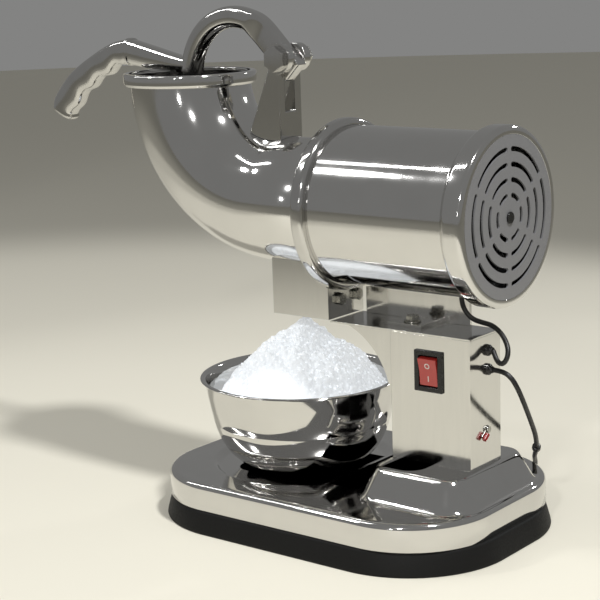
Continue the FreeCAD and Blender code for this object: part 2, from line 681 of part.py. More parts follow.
SHAFT_LEFT, SHAFT_RIGHT, THREAD_START, FAN_SEAT = -84.0, 143.0, -72.0, 126.0
THREAD_RADIUS, SHAFT_STEP = 5.0, 1.0
fan_bore = dims.shaft_radius - SHAFT_STEP
keep("motor_shaft", turned(
    "motor_shaft",
    [(SHAFT_LEFT, 0), (SHAFT_RIGHT, 0), (SHAFT_RIGHT, fan_bore), (FAN_SEAT, fan_bore),
     (FAN_SEAT, dims.shaft_radius), (THREAD_START, dims.shaft_radius),
     (THREAD_START, THREAD_RADIUS), (SHAFT_LEFT, THREAD_RADIUS)], "X", axis_point))
keep("rotor_core", washer("rotor_core", dims.stator_start, dims.stator_end, dims.rotor_radius,
                          dims.shaft_radius))

DISC_LEFT, DISC_RIGHT, DISC_RADIUS = -70.0, -65.0, 46.5
SLEEVE_OUTER, SLEEVE_LONG = 14.0, 12.0
BLADE_ANGLES = (90, 210, 330)
BLADE_LOW, BLADE_LONG, BLADE_WIDE, BLADE_THICK, BLADE_EDGE = 17.0, 26.0, 9.0, 2.0, 2.6
SLOT_WIDE = 5.0
BLADE_SCREWS, BLADE_SCREW_Y, BLADE_SCREW_RADIUS, BLADE_SCREW_LONG = (23.0, 37.0), 7.0, 1.5, 5.0
BLADE_SCREW_HEAD_RADIUS, BLADE_SCREW_HEAD = 2.6, 1.4
hub_point, ALONG_X = Vector(0, 0, number("motor_high")), Vector(1, 0, 0)
bore_radius = number("shaft_radius")
disc = Part.makeCylinder(DISC_RADIUS, DISC_RIGHT - DISC_LEFT,
                         hub_point + Vector(DISC_LEFT, 0, 0), ALONG_X)
hub_sleeve = Part.makeCylinder(SLEEVE_OUTER, SLEEVE_LONG, hub_point + Vector(DISC_RIGHT, 0, 0),
                               ALONG_X)
disc = disc.fuse(hub_sleeve).removeSplitter()
disc = disc.cut(Part.makeCylinder(bore_radius, 30, hub_point + Vector(DISC_LEFT - 5, 0, 0), ALONG_X))
blades, blade_screws = [], []
for angle in BLADE_ANGLES:
    slot = Part.makeBox(20, SLOT_WIDE, BLADE_LONG,
                        hub_point + Vector(DISC_LEFT - 5, -SLOT_WIDE / 2, BLADE_LOW))
    slot.rotate(hub_point, ALONG_X, angle)
    disc = disc.cut(slot)
    blade = Part.makeBox(BLADE_THICK, BLADE_WIDE, BLADE_LONG,
                         hub_point + Vector(DISC_LEFT - BLADE_THICK, BLADE_EDGE, BLADE_LOW))
    for height in BLADE_SCREWS:
        middle = hub_point + Vector(DISC_LEFT - BLADE_THICK, BLADE_SCREW_Y, height)
        blade = blade.cut(Part.makeCylinder(BLADE_SCREW_RADIUS, BLADE_THICK, middle, ALONG_X))
        screw = Part.makeCylinder(BLADE_SCREW_RADIUS, BLADE_SCREW_LONG, middle, ALONG_X)
        screw = screw.fuse(Part.makeCylinder(BLADE_SCREW_HEAD_RADIUS, BLADE_SCREW_HEAD,
                                             middle - ALONG_X * BLADE_SCREW_HEAD, ALONG_X))
        screw_hole = Part.makeCylinder(BLADE_SCREW_RADIUS, BLADE_SCREW_LONG - BLADE_THICK,
                                       middle + ALONG_X * BLADE_THICK, ALONG_X)
        screw_hole.rotate(hub_point, ALONG_X, angle)
        disc = disc.cut(screw_hole)
        screw.rotate(hub_point, ALONG_X, angle)
        blade_screws.append(screw)
    blade.rotate(hub_point, ALONG_X, angle)
    blades.append(blade)
keep("blade_disc", formed("blade_disc", disc))
keep("shaving_blades", formed("shaving_blades", Part.makeCompound(blades)))
keep("blade_screws", formed("blade_screws", Part.makeCompound(blade_screws)))
HUB_NUT_LEFT, HUB_NUT_RADIUS, HUB_NUT = -78.0, 9.5, 6.0
hub_nut_blank = hexagon("hub_nut_blank", (HUB_NUT_LEFT, 0, dims.motor_high), HUB_NUT_RADIUS, HUB_NUT)
hub_nut_hole = rod("hub_nut_hole", (HUB_NUT_LEFT - 2, 0, dims.motor_high), THREAD_RADIUS, HUB_NUT + 3)
keep("hub_nut", cut("hub_nut", hub_nut_blank, hub_nut_hole))

FAN_LEFT, FAN_HUB_RIGHT, FAN_HUB_RADIUS, FAN_RADIUS, FAN_SHEET = 127.0, 141.0, 16.0, 50.0, 1.5
VANES, VANE_LEFT, VANE_RIGHT, VANE_THICK, VANE_LOW = 8, 128.0, 140.0, 1.6, 15.0
fan_hub = washer("fan_hub", FAN_LEFT, FAN_HUB_RIGHT, FAN_HUB_RADIUS, fan_bore)
fan_plate = washer("fan_plate", FAN_LEFT, FAN_LEFT + FAN_SHEET, FAN_RADIUS, VANE_LOW)
vanes = []
for index in range(VANES):
    vane = Part.makeBox(VANE_RIGHT - VANE_LEFT, VANE_THICK, FAN_RADIUS - VANE_LOW,
                        hub_point + Vector(VANE_LEFT, -VANE_THICK / 2, VANE_LOW))
    vane.rotate(hub_point, ALONG_X, 360 / VANES * index)
    vanes.append(formed("fan_vane_%d" % index, vane))
keep("cooling_fan", joined("cooling_fan", fan_hub, fan_plate, *vanes))

# ---------------------------------------------------------------- motor bracket

WEB_Y = 18.0
BRACKET_LEFT, BRACKET_RIGHT, BRACKET_SHEET, BRACKET_HIGH = 3.0, 104.0, 2.5, 40.0
FOOT_LEFT, FOOT_RIGHT, FOOT_EDGE = 44.0, 76.0, -10.0
neck_top = number("neck_high")
bracket_web = Part.makeBox(BRACKET_RIGHT - BRACKET_LEFT, BRACKET_SHEET, BRACKET_HIGH,
                           Vector(BRACKET_LEFT, WEB_Y, neck_top))
bracket_foot = Part.makeBox(FOOT_RIGHT - FOOT_LEFT, WEB_Y - FOOT_EDGE, BRACKET_SHEET,
                            Vector(FOOT_LEFT, FOOT_EDGE, neck_top))
housing_room = Part.makeCylinder(number("housing_radius"), 200,
                                 Vector(-50, 0, number("motor_high")), Vector(1, 0, 0))
motor_bracket = bracket_web.fuse(bracket_foot).removeSplitter().cut(housing_room).cut(ring_room)
motor_bracket = motor_bracket.cut(Part.makeCylinder(BRACKET_HOLE, 8,
                                                    Vector(BRACKET_BOLT_X, 0, neck_top - 2)))
keep("motor_bracket", formed("motor_bracket", motor_bracket))
foot_top = dims.neck_high + BRACKET_SHEET
WASHER_RADIUS, WASHER_SHEET, BOLT_RADIUS, BOLT_HEX, BOLT_HEAD, BOLT_NUT = 7.0, 1.2, 3.0, 5.8, 4.0, 5.0
keep("bracket_washer", cut(
    "bracket_washer",
    rod("washer_blank", (BRACKET_BOLT_X, 0, foot_top), WASHER_RADIUS, WASHER_SHEET, "Z"),
    rod("washer_hole", (BRACKET_BOLT_X, 0, foot_top - 1), BRACKET_HOLE, 4, "Z")))
keep("bracket_bolt", joined(
    "bracket_bolt",
    hexagon("bracket_bolt_head", (BRACKET_BOLT_X, 0, foot_top + WASHER_SHEET), BOLT_HEX, BOLT_HEAD,
            "Z"),
    rod("bracket_bolt_shank", (BRACKET_BOLT_X, 0, foot_top - 14), BOLT_RADIUS, 16, "Z")))
nut_low = number("neck_high") - number("neck_sheet") - BOLT_NUT
nut_angles = [math.radians(60 * corner + 30) for corner in range(7)]
bracket_nut = Part.makePolygon([Vector(BRACKET_BOLT_X + BOLT_HEX * math.cos(angle),
                                       BOLT_HEX * math.sin(angle), nut_low)
                                for angle in nut_angles])
bracket_nut = Part.Face(bracket_nut).extrude(Vector(0, 0, BOLT_NUT))
bracket_nut = bracket_nut.cut(Part.makeCylinder(BOLT_RADIUS, BOLT_NUT + 2,
                                                Vector(BRACKET_BOLT_X, 0, nut_low - 1)))
keep("bracket_nut", formed("bracket_nut", bracket_nut))

# ---------------------------------------------------------------- electrical parts

front_y = -dims.column_half
BEZEL_PROUD, CAN_DEEP, BODY_FIT = 2.2, 22.0, 0.1
can_half_x, can_half_z = BODY_HALF_X - BODY_FIT, BODY_HALF_Z - BODY_FIT
bezel = block(
    "switch_bezel",
    (dims.switch_x - dims.bezel_width / 2, front_y - BEZEL_PROUD,
     dims.switch_high - dims.bezel_height / 2),
    (dims.switch_x + dims.bezel_width / 2, front_y, dims.switch_high + dims.bezel_height / 2))
switch_can = block(
    "switch_can",
    (dims.switch_x - can_half_x, front_y - 0.5, dims.switch_high - can_half_z),
    (dims.switch_x + can_half_x, front_y + CAN_DEEP, dims.switch_high + can_half_z))
ROCKER_HALF_X, ROCKER_HALF_Z, ROCKER_ROOM_Z, ROCKER_PLAY, ROOM_DEEP = 8.3, 11.2, 12.6, 0.4, 9.0
room_half = ROCKER_HALF_X + ROCKER_PLAY
rocker_room = block(
    "rocker_room", (dims.switch_x - room_half, front_y - 6, dims.switch_high - ROCKER_ROOM_Z),
    (dims.switch_x + room_half, front_y + ROOM_DEEP, dims.switch_high + ROCKER_ROOM_Z))
keep("switch_body", cut("switch_body", joined("switch_solid", bezel, switch_can), rocker_room))

ROCKER_AXIS_Y = -number("column_half") + 2.0
ROCKER_TILT = 9.0
ROCKER_FACE, ROCKER_BACK, KEEL_RADIUS = -4.6, 1.0, 3.0
VALLEY_RADIUS, VALLEY_Y = 60.0, -64.0
rocker_shape = prism_xz([(-ROCKER_HALF_X, -ROCKER_HALF_Z), (ROCKER_HALF_X, -ROCKER_HALF_Z),
                         (ROCKER_HALF_X, ROCKER_HALF_Z), (-ROCKER_HALF_X, ROCKER_HALF_Z)],
                        ROCKER_FACE, ROCKER_BACK)
valley = Part.makeCylinder(VALLEY_RADIUS, 40, Vector(-20, VALLEY_Y, 0), ALONG_X)
keel = Part.makeCylinder(KEEL_RADIUS, 2 * ROCKER_HALF_X, Vector(-ROCKER_HALF_X, ROCKER_BACK, 0),
                         ALONG_X)
rocker_shape = rocker_shape.cut(valley).fuse(keel).removeSplitter()
rocker_shape.rotate(Vector(0, 0, 0), ALONG_X, ROCKER_TILT)
rocker_shape.translate(Vector(number("switch_x"), ROCKER_AXIS_Y, number("switch_high")))
keep("rocker", formed("rocker", rocker_shape))

GLAND_OUT = 5.5


def gland(name, height):
    """A moulded strain relief: waist in the wall, round head outside, collar inside."""
    face = dims.column_right
    return turned(name, [(face - 5, 0), (face + GLAND_OUT, 0), (face + GLAND_OUT, 2.6),
                         (face + 4, 3.6), (face + 1.5, 4.2), (face, 4.4), (face, GLAND_RADIUS),
                         (face - dims.sheet_wall, GLAND_RADIUS), (face - dims.sheet_wall, 4.2),
                         (face - 5, 4.2)], "X", (0, GLAND_Y, height))


keep("upper_gland", gland("upper_gland", UPPER_GLAND_Z))
keep("lower_gland", gland("lower_gland", LOWER_GLAND_Z))
LUG_TURN = -53
lug_centre = Vector(number("column_right"), EARTH_Y, EARTH_Z)
LUG_SHEET, LUG_RADIUS, LUG_HALF, LUG_TAIL, EARTH_STUD = 0.8, 3.2, 1.5, 9.0, 1.5
SLEEVE_RADIUS, SLEEVE_START, SLEEVE_LENGTH = 1.9, 4.4, 6.4


def hung_from_lug(shape):
    """Turns a shape that hangs straight down under the stud to the side that the lug leans to."""
    turned_shape = shape.copy()
    turned_shape.rotate(lug_centre, Vector(1, 0, 0), LUG_TURN)
    return turned_shape


lug = Part.makeCylinder(LUG_RADIUS, LUG_SHEET, lug_centre, Vector(1, 0, 0))
lug = lug.fuse(Part.makeBox(LUG_SHEET, 2 * LUG_HALF, LUG_TAIL,
                            lug_centre - Vector(0, LUG_HALF, LUG_TAIL))).removeSplitter()
lug = lug.cut(Part.makeCylinder(EARTH_STUD, 4, lug_centre - Vector(1, 0, 0), Vector(1, 0, 0)))
keep("earth_lug", formed("earth_lug", hung_from_lug(lug)))
sleeve = Part.makeCylinder(SLEEVE_RADIUS, SLEEVE_LENGTH,
                           lug_centre + Vector(LUG_SHEET + SLEEVE_RADIUS + 0.1, 0,
                                               -SLEEVE_START - SLEEVE_LENGTH))
keep("earth_sleeve", formed("earth_sleeve", hung_from_lug(sleeve)))
keep("earth_screw", joined(
    "earth_screw",
    rod("earth_screw_head", (dims.column_right + LUG_SHEET, EARTH_Y, EARTH_Z), 2.6, 1.6),
    rod("earth_screw_shank", (dims.column_right - 8, EARTH_Y, EARTH_Z), EARTH_STUD, 9)))
CAPACITOR_X, CAPACITOR_Y, CAPACITOR_LOW, CAPACITOR_RADIUS, CAPACITOR_LONG = 74, 4, 70, 14, 50
CLIP_LOW, CLIP_HIGH, CLIP_SHEET, CLIP_FOOT = 84, 94, 1.2, 4
TERMINALS_LOW, TERMINALS_HIGH = (98, 6, 112), (122, 124)
back_wall = dims.column_half - sheet_wall
keep("capacitor", rod("capacitor", (CAPACITOR_X, CAPACITOR_Y, CAPACITOR_LOW), CAPACITOR_RADIUS,
                      CAPACITOR_LONG, "Z"))
keep("capacitor_clip", cut(
    "capacitor_clip",
    joined("clip_blank",
           rod("clip_ring", (CAPACITOR_X, CAPACITOR_Y, CLIP_LOW), CAPACITOR_RADIUS + CLIP_SHEET,
               CLIP_HIGH - CLIP_LOW, "Z"),
           block("clip_foot", (CAPACITOR_X - CLIP_FOOT, 17, CLIP_LOW),
                 (CAPACITOR_X + CLIP_FOOT, back_wall, CLIP_HIGH))),
    rod("clip_bore", (CAPACITOR_X, CAPACITOR_Y, CLIP_LOW - 1), CAPACITOR_RADIUS,
        CLIP_HIGH - CLIP_LOW + 2, "Z")))
keep("terminal_block", block("terminal_block", TERMINALS_LOW,
                             (TERMINALS_HIGH[0], back_wall, TERMINALS_HIGH[1])))

# ---------------------------------------------------------------- bowl

BOWL_WALL, BOWL_GAP = 1.2, 0.3
BOWL_OUTSIDE = [(36, dims.bowl_low), (46, 40), (56, 45), (64, 53), (70, 63), (74, 72), (75.2, 78),
                (78, 90), (80.5, 102), (81.6, 113)]
BOWL_INSIDE = [(79.2, 102), (76.7, 90), (73.9, 78), (72.7, 72.4), (68.8, 63.6), (63, 54),
               (55.2, 46.2), (45.6, 41.2), (35.8, dims.bowl_low + BOWL_WALL)]
LIP, LIP_WIDE = 1.6, 5.0
bowl_outline = [(0, dims.bowl_low), *BOWL_OUTSIDE, (dims.bowl_rim, dims.bowl_high - LIP),
                (dims.bowl_rim, dims.bowl_high), (dims.bowl_rim - LIP_WIDE, dims.bowl_high),
                *BOWL_INSIDE, (0, dims.bowl_low + BOWL_WALL)]
bowl_drop = dims.base_high - dims.recess_depth + BOWL_GAP - dims.bowl_low
keep("bowl", turned("bowl", bowl_outline, "Z", (dims.bowl_x, 0, bowl_drop)))

# ---------------------------------------------------------------- cords


def route_tube(name, points, radius):
    """A cord as straight runs joined by tangent arcs, each as large as its two runs allow."""
    spots = [Vector(*point) for point in points]
    edges, here, radii = [], spots[0], []
    for index in range(1, len(spots) - 1):
        before, at, after = spots[index - 1:index + 2]
        inward, outward = at - before, after - at
        shorter = min(inward.Length, outward.Length)
        inward.normalize()
        outward.normalize()
        turn = inward.getAngle(outward)
        reach = 0.45 * shorter
        bend = reach / math.tan(turn / 2)
        radii.append(bend)
        start, end = at - inward * reach, at + outward * reach
        centre_way = (outward - inward).normalize()
        middle = at + centre_way * (bend / math.cos(turn / 2) - bend)
        edges += [Part.LineSegment(here, start).toShape(), Part.Arc(start, middle, end).toShape()]
        here = end
    edges.append(Part.LineSegment(here, spots[-1]).toShape())
    path = Part.Wire(edges)
    first = (spots[1] - spots[0]).normalize()
    ring = Part.Wire(Part.Circle(spots[0], first, radius).toShape())
    tube = path.makePipeShell([ring], True, False)
    expected = math.pi * radius ** 2 * path.Length
    print("%s: length %.1f, tightest radius %.1f, volume ratio %.4f"
          % (name, path.Length, min(radii), tube.Volume / expected))
    return formed(name, tube)


cord = number("cord_radius")
face_x = number("column_right") + GLAND_OUT
MAINS_ROUTE = [
    (face_x, 3, 141.7), (143.5, 2.2, 142), (150.8, 2.5, 138), (155, 4.5, 130), (155.8, 10, 120.5),
    (153.8, 20.5, 108), (150, 34, 94), (145, 49, 79.5), (137, 65, 64), (125.5, 81, 51),
    (116, 97, 43.5), (109.5, 110, 32), (100, 120.5, 15), (84, 127.5, 4.5), (66, 130.5, 2.1),
    (52, 131, 2), (38, 130, 2), (21, 128.5, 2)]
keep("mains_cord", route_tube("mains_cord", MAINS_ROUTE, cord))
LEAD_ROUTE = [
    (101, 10, number("motor_high") - 60.6), (100.5, 11, 193), (103, 11, 184.5), (110, 11, 178),
    (119, 11.5, 176), (129, 10.5, 175.2), (138.5, 8, 170.8), (145.5, 4.5, 164.5),
    (149.3, 1, 158.9), (149.6, -2, 152.8), (145, -1.3, 148.2), (138.8, 0.6, 149.8), (face_x, 3, 157)]
keep("motor_lead", route_tube("motor_lead", LEAD_ROUTE, cord))

coil_half = number("coil_section") / 2
coil_x, coil_y, coil_middle = number("coil_x"), number("coil_y"), number("coil_middle")
coil = Part.makeCylinder(coil_middle + coil_half, 2 * coil_half, Vector(coil_x, coil_y, 0))
coil = coil.cut(Part.makeCylinder(coil_middle - coil_half, 2 * coil_half,
                                  Vector(coil_x, coil_y, 0)))
COIL_FILLET = 3.5
coil = coil.makeFillet(COIL_FILLET, coil.Edges)
keep("cord_coil", formed("cord_coil", coil))
TIE_WIDE, TIE_SHEET = 5.0, 1.5
tie_corner = Vector(coil_x - coil_middle - coil_half, coil_y - TIE_WIDE / 2, 0)
tie = Part.makeBox(2 * (coil_half + TIE_SHEET), TIE_WIDE, 2 * coil_half + TIE_SHEET,
                   tie_corner - Vector(TIE_SHEET, 0, 0))
tie = tie.cut(Part.makeBox(2 * coil_half, TIE_WIDE, 2 * coil_half, tie_corner)).cut(coil)
keep("cord_tie", formed("cord_tie", tie))
PLUG_X, PLUG_Y, PLUG_HIGH = -31, 129.2, 8
TAIL_ROUTE = [(2, 129.4, 6.1), (-9, 129.2, 6.6), (-20, 129.2, 7.5), (PLUG_X, PLUG_Y, PLUG_HIGH)]
keep("cord_tail", route_tube("cord_tail", TAIL_ROUTE, cord))
PLUG_THICK, PLUG_WIDE, PLUG_CORNER, PLUG_LONG = 16, 26, 6, 34
PIN_RADIUS, PIN_LONG, PIN_HALF_PITCH = 2.4, 19, 7
plug_body = rounded_plate(PLUG_THICK, PLUG_WIDE, PLUG_CORNER, 0, PLUG_LONG)
plug_body.rotate(Vector(0, 0, 0), Vector(0, 1, 0), -90)
plug_body.translate(Vector(PLUG_X, PLUG_Y, PLUG_HIGH))
keep("plug_body", formed("plug_body", plug_body))
pin_left = PLUG_X - PLUG_LONG - PIN_LONG
pins = [Part.makeCylinder(PIN_RADIUS, PIN_LONG, Vector(pin_left, PLUG_Y + side, PLUG_HIGH), ALONG_X)
        for side in (-PIN_HALF_PITCH, PIN_HALF_PITCH)]
keep("plug_pins", formed("plug_pins", Part.makeCompound(pins)))

# ---------------------------------------------------------------- check and export

doc.recompute()
for item in doc.Objects:
    if "Invalid" in item.State or "Error" in item.State:
        raise RuntimeError("%s is %s" % (item.Label, item.State))
os.makedirs("parts", exist_ok=True)
for label, item in FINISHED.items():
    shape = item.Shape
    if shape.isNull() or not shape.isValid() or not shape.Solids:
        raise RuntimeError("%s has no valid solid" % label)
    shape.exportStep("parts/%s.step" % label)
print("%d sub-parts written" % len(FINISHED))
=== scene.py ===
"""Shaved ice machine: the finishes, and the finer pieces that stand for plain CAD nodes.

Everything is in metres in the CAD model's own frame: +Z up, +X towards the motor's air
grille, -Y towards the switch, and the origin under the middle of the base. Places come
from the frame's boxes, and only small shape sizes are written here, in millimetres.
"""
from __future__ import annotations

import logging
import math
from collections.abc import Callable, Iterable, Sequence
from dataclasses import dataclass, field
from enum import Enum

import bmesh
import bpy
from mathutils import Matrix, Vector, noise

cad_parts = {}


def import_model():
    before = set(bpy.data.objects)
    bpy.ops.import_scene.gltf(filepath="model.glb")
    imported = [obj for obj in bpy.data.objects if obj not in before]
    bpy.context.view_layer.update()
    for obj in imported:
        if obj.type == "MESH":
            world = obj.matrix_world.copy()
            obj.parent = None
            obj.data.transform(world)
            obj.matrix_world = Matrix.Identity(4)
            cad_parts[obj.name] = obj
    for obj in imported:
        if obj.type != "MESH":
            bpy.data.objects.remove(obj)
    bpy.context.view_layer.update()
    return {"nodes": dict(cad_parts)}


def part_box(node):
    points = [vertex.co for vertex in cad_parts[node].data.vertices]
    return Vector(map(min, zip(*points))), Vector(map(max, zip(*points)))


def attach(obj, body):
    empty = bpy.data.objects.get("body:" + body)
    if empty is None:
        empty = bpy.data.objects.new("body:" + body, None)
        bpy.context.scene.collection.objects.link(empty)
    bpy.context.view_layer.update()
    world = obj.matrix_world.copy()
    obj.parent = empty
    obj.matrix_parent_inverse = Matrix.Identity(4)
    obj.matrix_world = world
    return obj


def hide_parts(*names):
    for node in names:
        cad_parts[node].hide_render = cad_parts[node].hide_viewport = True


LOG = logging.getLogger("ice_machine")
MM = 0.001
Point = tuple[float, float]


class Axis(Enum):
    """The two directions that turned pieces are turned about."""

    MOTOR = "X"
    UPRIGHT = "Z"


# ---------------------------------------------------------------- colour and nodes


def srgb(code: str) -> tuple[float, float, float, float]:
    """Turns an sRGB hex colour to the linear colour that shaders take.

    Args:
        code: Six hex digits, such as "c8c4aa".

    Returns:
        Linear red, green, blue, and an alpha of one.
    """
    values = [int(code[place:place + 2], 16) / 255 for place in (0, 2, 4)]
    linear = [v / 12.92 if v <= 0.04045 else ((v + 0.055) / 1.055) ** 2.4 for v in values]
    return (linear[0], linear[1], linear[2], 1.0)


def add_node(tree: bpy.types.NodeTree, kind: str, settings: dict | None = None,
             inputs: dict | None = None, links: dict | None = None) -> bpy.types.Node:
    """Adds one node to a tree.

    Args:
        tree: The node tree that gets the node.
        kind: The node's type, such as "ShaderNodeTexNoise".
        settings: Properties of the node itself.
        inputs: Values for unlinked sockets.
        links: Output sockets of other nodes, by the input that each goes into.

    Returns:
        The new node.
    """
    node = tree.nodes.new(kind)
    for name, value in (settings or {}).items():
        setattr(node, name, value)
    for name, value in (inputs or {}).items():
        node.inputs[name].default_value = value
    for name, source in (links or {}).items():
        tree.links.new(source, node.inputs[name])
    return node


@dataclass(frozen=True)
class Finish:
    """A surface finish: its shader values and the fine pattern in its gloss and relief.

    Attributes:
        name: What a maker would call the finish.
        colour: The main sRGB colour.
        second: A second sRGB colour that the pattern mixes in.
        metallic: One for bare metal and zero for anything else.
        roughness: The lowest and highest roughness across the surface.
        pattern_mm: The size of the pattern's grains or smudges.
        stretch: How many times longer the pattern is along each axis.
        relief_mm: The height of the pattern's relief.
        coat: The weight of a clear coat.
        ior: The index of refraction of anything but a metal.
        glow_mm: How far light goes into the surface.
        painted_glow: A painted glow: emission of the main colour that brightens the surface,
            standing in for light scattered through something as clear as ice.
    """

    name: str
    colour: str
    second: str
    metallic: float = 0.0
    roughness: tuple[float, float] = (0.4, 0.5)
    pattern_mm: float = 5.0
    stretch: tuple[float, float, float] = (1.0, 1.0, 1.0)
    relief_mm: float = 0.0
    coat: float = 0.0
    ior: float = 1.5
    glow_mm: float = 0.0
    painted_glow: float = 0.0

    def material(self) -> bpy.types.Material:
        """Returns the finish as a material, made once."""
        known = bpy.data.materials.get(self.name)
        if known:
            return known
        material = bpy.data.materials.new(self.name)
        material.use_nodes = True
        tree = material.node_tree
        tree.nodes.clear()
        place = add_node(tree, "ShaderNodeTexCoord")
        scale = tuple(1.0 / (self.pattern_mm * MM * factor) for factor in self.stretch)
        mapping = add_node(tree, "ShaderNodeMapping", inputs={"Scale": scale},
                           links={"Vector": place.outputs["Object"]})
        grain = add_node(tree, "ShaderNodeTexNoise", inputs={"Scale": 1.0, "Detail": 3.0},
                         links={"Vector": mapping.outputs["Vector"]})
        sheen = add_node(tree, "ShaderNodeMapRange",
                         inputs={"From Min": 0.3, "From Max": 0.7, "To Min": self.roughness[0],
                                 "To Max": self.roughness[1]},
                         links={"Value": grain.outputs["Fac"]})
        blend = add_node(tree, "ShaderNodeMix", {"data_type": "RGBA"})
        blend.inputs[6].default_value = srgb(self.colour)
        blend.inputs[7].default_value = srgb(self.second)
        tree.links.new(grain.outputs["Fac"], blend.inputs[0])
        shader = add_node(tree, "ShaderNodeBsdfPrincipled",
                          inputs={"Metallic": self.metallic, "IOR": self.ior,
                                  "Coat Weight": self.coat, "Coat Roughness": 0.08},
                          links={"Base Color": blend.outputs[2],
                                 "Roughness": sheen.outputs["Result"]})
        if self.glow_mm:
            shader.inputs["Subsurface Weight"].default_value = 1.0
            shader.inputs["Subsurface Radius"].default_value = (1.0, 1.0, 1.0)
            shader.inputs["Subsurface Scale"].default_value = self.glow_mm * MM
            # Painted glow: the surface emits light of its own colour, which makes it brighter than
            # the lamps alone would.
            shader.inputs["Emission Color"].default_value = srgb(self.colour)
            shader.inputs["Emission Strength"].default_value = self.painted_glow
        if self.relief_mm:
            relief = add_node(tree, "ShaderNodeBump", inputs={"Distance": self.relief_mm * MM},
                              links={"Height": grain.outputs["Fac"]})
            tree.links.new(relief.outputs["Normal"], shader.inputs["Normal"])
        add_node(tree, "ShaderNodeOutputMaterial", links={"Surface": shader.outputs["BSDF"]})
        return material


class Finishes:
    """The machine's own finishes."""

    # Mirror-polished stainless sheet: sharp reflections, faint wiping marks in the gloss.
    STEEL = Finish("mirror_polished_stainless", "d8d7d5", "d0cfcd", 1.0, (0.05, 0.1), 26.0)
    # Stainless sheet with its rolling grain still in it: reflections blur up and down.
    SHEET = Finish("bright_rolled_stainless", "d7d6d3", "cfcecb", 1.0, (0.1, 0.15), 3.0,
                   (1.0, 1.0, 14.0))
    # Polished cast aluminium: a little darker and softer than the steel.
    CASTING = Finish("polished_cast_aluminium", "d2d1cf", "c5c4c2", 1.0, (0.06, 0.12), 18.0)
    # Bright zinc plate on fasteners: satin grey, slightly mottled.
    ZINC = Finish("bright_zinc_plate", "b4b3ae", "9c9b95", 1.0, (0.2, 0.34), 2.0)
    # Black moulded rubber: matte, with a fine moulded grain.
    RUBBER = Finish("black_moulded_rubber", "0b0b0b", "131312", 0.0, (0.5, 0.68), 1.6,
                    relief_mm=0.05, ior=1.3)
    # Satin grey painted steel of the air grille.
    GRILLE = Finish("grey_satin_paint", "7d7d7f", "767678", 0.0, (0.34, 0.44), 0.9,
                    relief_mm=0.02, coat=0.1)
    # Soft black cable sheath: smooth with a low gloss.
    SHEATH = Finish("black_cable_sheath", "0d0d0d", "161616", 0.0, (0.36, 0.5), 4.0)
    # Black moulded nylon of the switch, plug and glands.
    NYLON = Finish("black_moulded_nylon", "0b0b0b", "121212", 0.0, (0.22, 0.34), 1.2,
                   relief_mm=0.01)
    # Galvanised sheet inside the base: dull spangle.
    GALVANISED = Finish("galvanised_sheet", "8b8e90", "a2a5a7", 1.0, (0.4, 0.55), 9.0)
    # Grey cast iron of the motor's end plates.
    IRON = Finish("machined_cast_iron", "4b4c4e", "3c3d3f", 1.0, (0.42, 0.6), 1.5, relief_mm=0.03)
    # Ground bearing steel.
    BEARING = Finish("ground_bearing_steel", "a9aaad", "9b9ca0", 1.0, (0.16, 0.24), 2.0)
    # Stacked electrical sheet: fine rings round the motor's axis.
    LAMINATION = Finish("stacked_electrical_sheet", "5d6064", "484b4f", 1.0, (0.35, 0.5), 0.6,
                        (1.0, 30.0, 30.0), 0.04)
    # Enamelled copper wire.
    COPPER = Finish("enamelled_copper_wire", "a8562a", "7d3a18", 1.0, (0.25, 0.4), 0.9,
                    (1.0, 6.0, 6.0), 0.1)
    # Hardened and ground blade steel.
    BLADE = Finish("ground_blade_steel", "cfd0d2", "bfc0c3", 1.0, (0.12, 0.2), 1.5, (8.0, 1.0, 1.0))
    # Turned bronze bushing.
    BRONZE = Finish("turned_bronze", "b98d4b", "a87c3d", 1.0, (0.2, 0.3), 2.0)
    # Dark red insulating sleeve on the earth lug.
    SLEEVE = Finish("red_vinyl_sleeve", "7a1512", "8c1b16", 0.0, (0.25, 0.35), 2.0)
    # Shaved ice: wet and grainy. Light goes a little way into it. It also has a painted glow:
    # it emits light of its own colour, which stands in for light scattered through the heap.
    ICE = Finish("wet_shaved_ice", "e2e5e8", "dadee1", 0.0, (0.2, 0.45), 1.4, relief_mm=0.35,
                 ior=1.31, glow_mm=1.6, painted_glow=0.5)
    # White pad-printed marks.
    INK = Finish("white_printed_mark", "e8e4de", "dcd8d2", 0.0, (0.4, 0.5), 1.0)
    # Red moulded polycarbonate of the rocker, lightly cloudy.
    ROCKER = Finish("red_moulded_polycarbonate", "b8352f", "a82b27", 0.0, (0.12, 0.2), 3.0,
                    coat=0.4, ior=1.58)


# ---------------------------------------------------------------- mesh work


def piece_from(bm: bmesh.types.BMesh, name: str, finish: Finish, body: str,
               replaces: Sequence[str] = (), sharp: float = 35.0,
               flip_check: bool = True) -> bpy.types.Object:
    """Makes a bmesh into a finished piece on a body.

    Args:
        bm: The mesh, in metres in the frame. It is freed.
        name: The piece's name.
        finish: The finish on it.
        body: The CAD body that it moves with.
        replaces: The CAD nodes that it stands for.
        sharp: Edges that turn by more than this many degrees stay sharp.
        flip_check: Whether to make the faces point outwards.

    Returns:
        The new object.
    """
    if flip_check:
        bmesh.ops.recalc_face_normals(bm, faces=bm.faces)
    mesh = bpy.data.meshes.new(name)
    bm.to_mesh(mesh)
    bm.free()
    mesh.shade_smooth()
    mesh.set_sharp_from_angle(angle=math.radians(sharp))
    mesh.materials.append(finish.material())
    item = bpy.data.objects.new(name, mesh)
    bpy.context.scene.collection.objects.link(item)
    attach(item, body)
    if replaces:
        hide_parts(*replaces)
    LOG.info("%s: %d faces on %s", name, len(mesh.polygons), body)
    return item


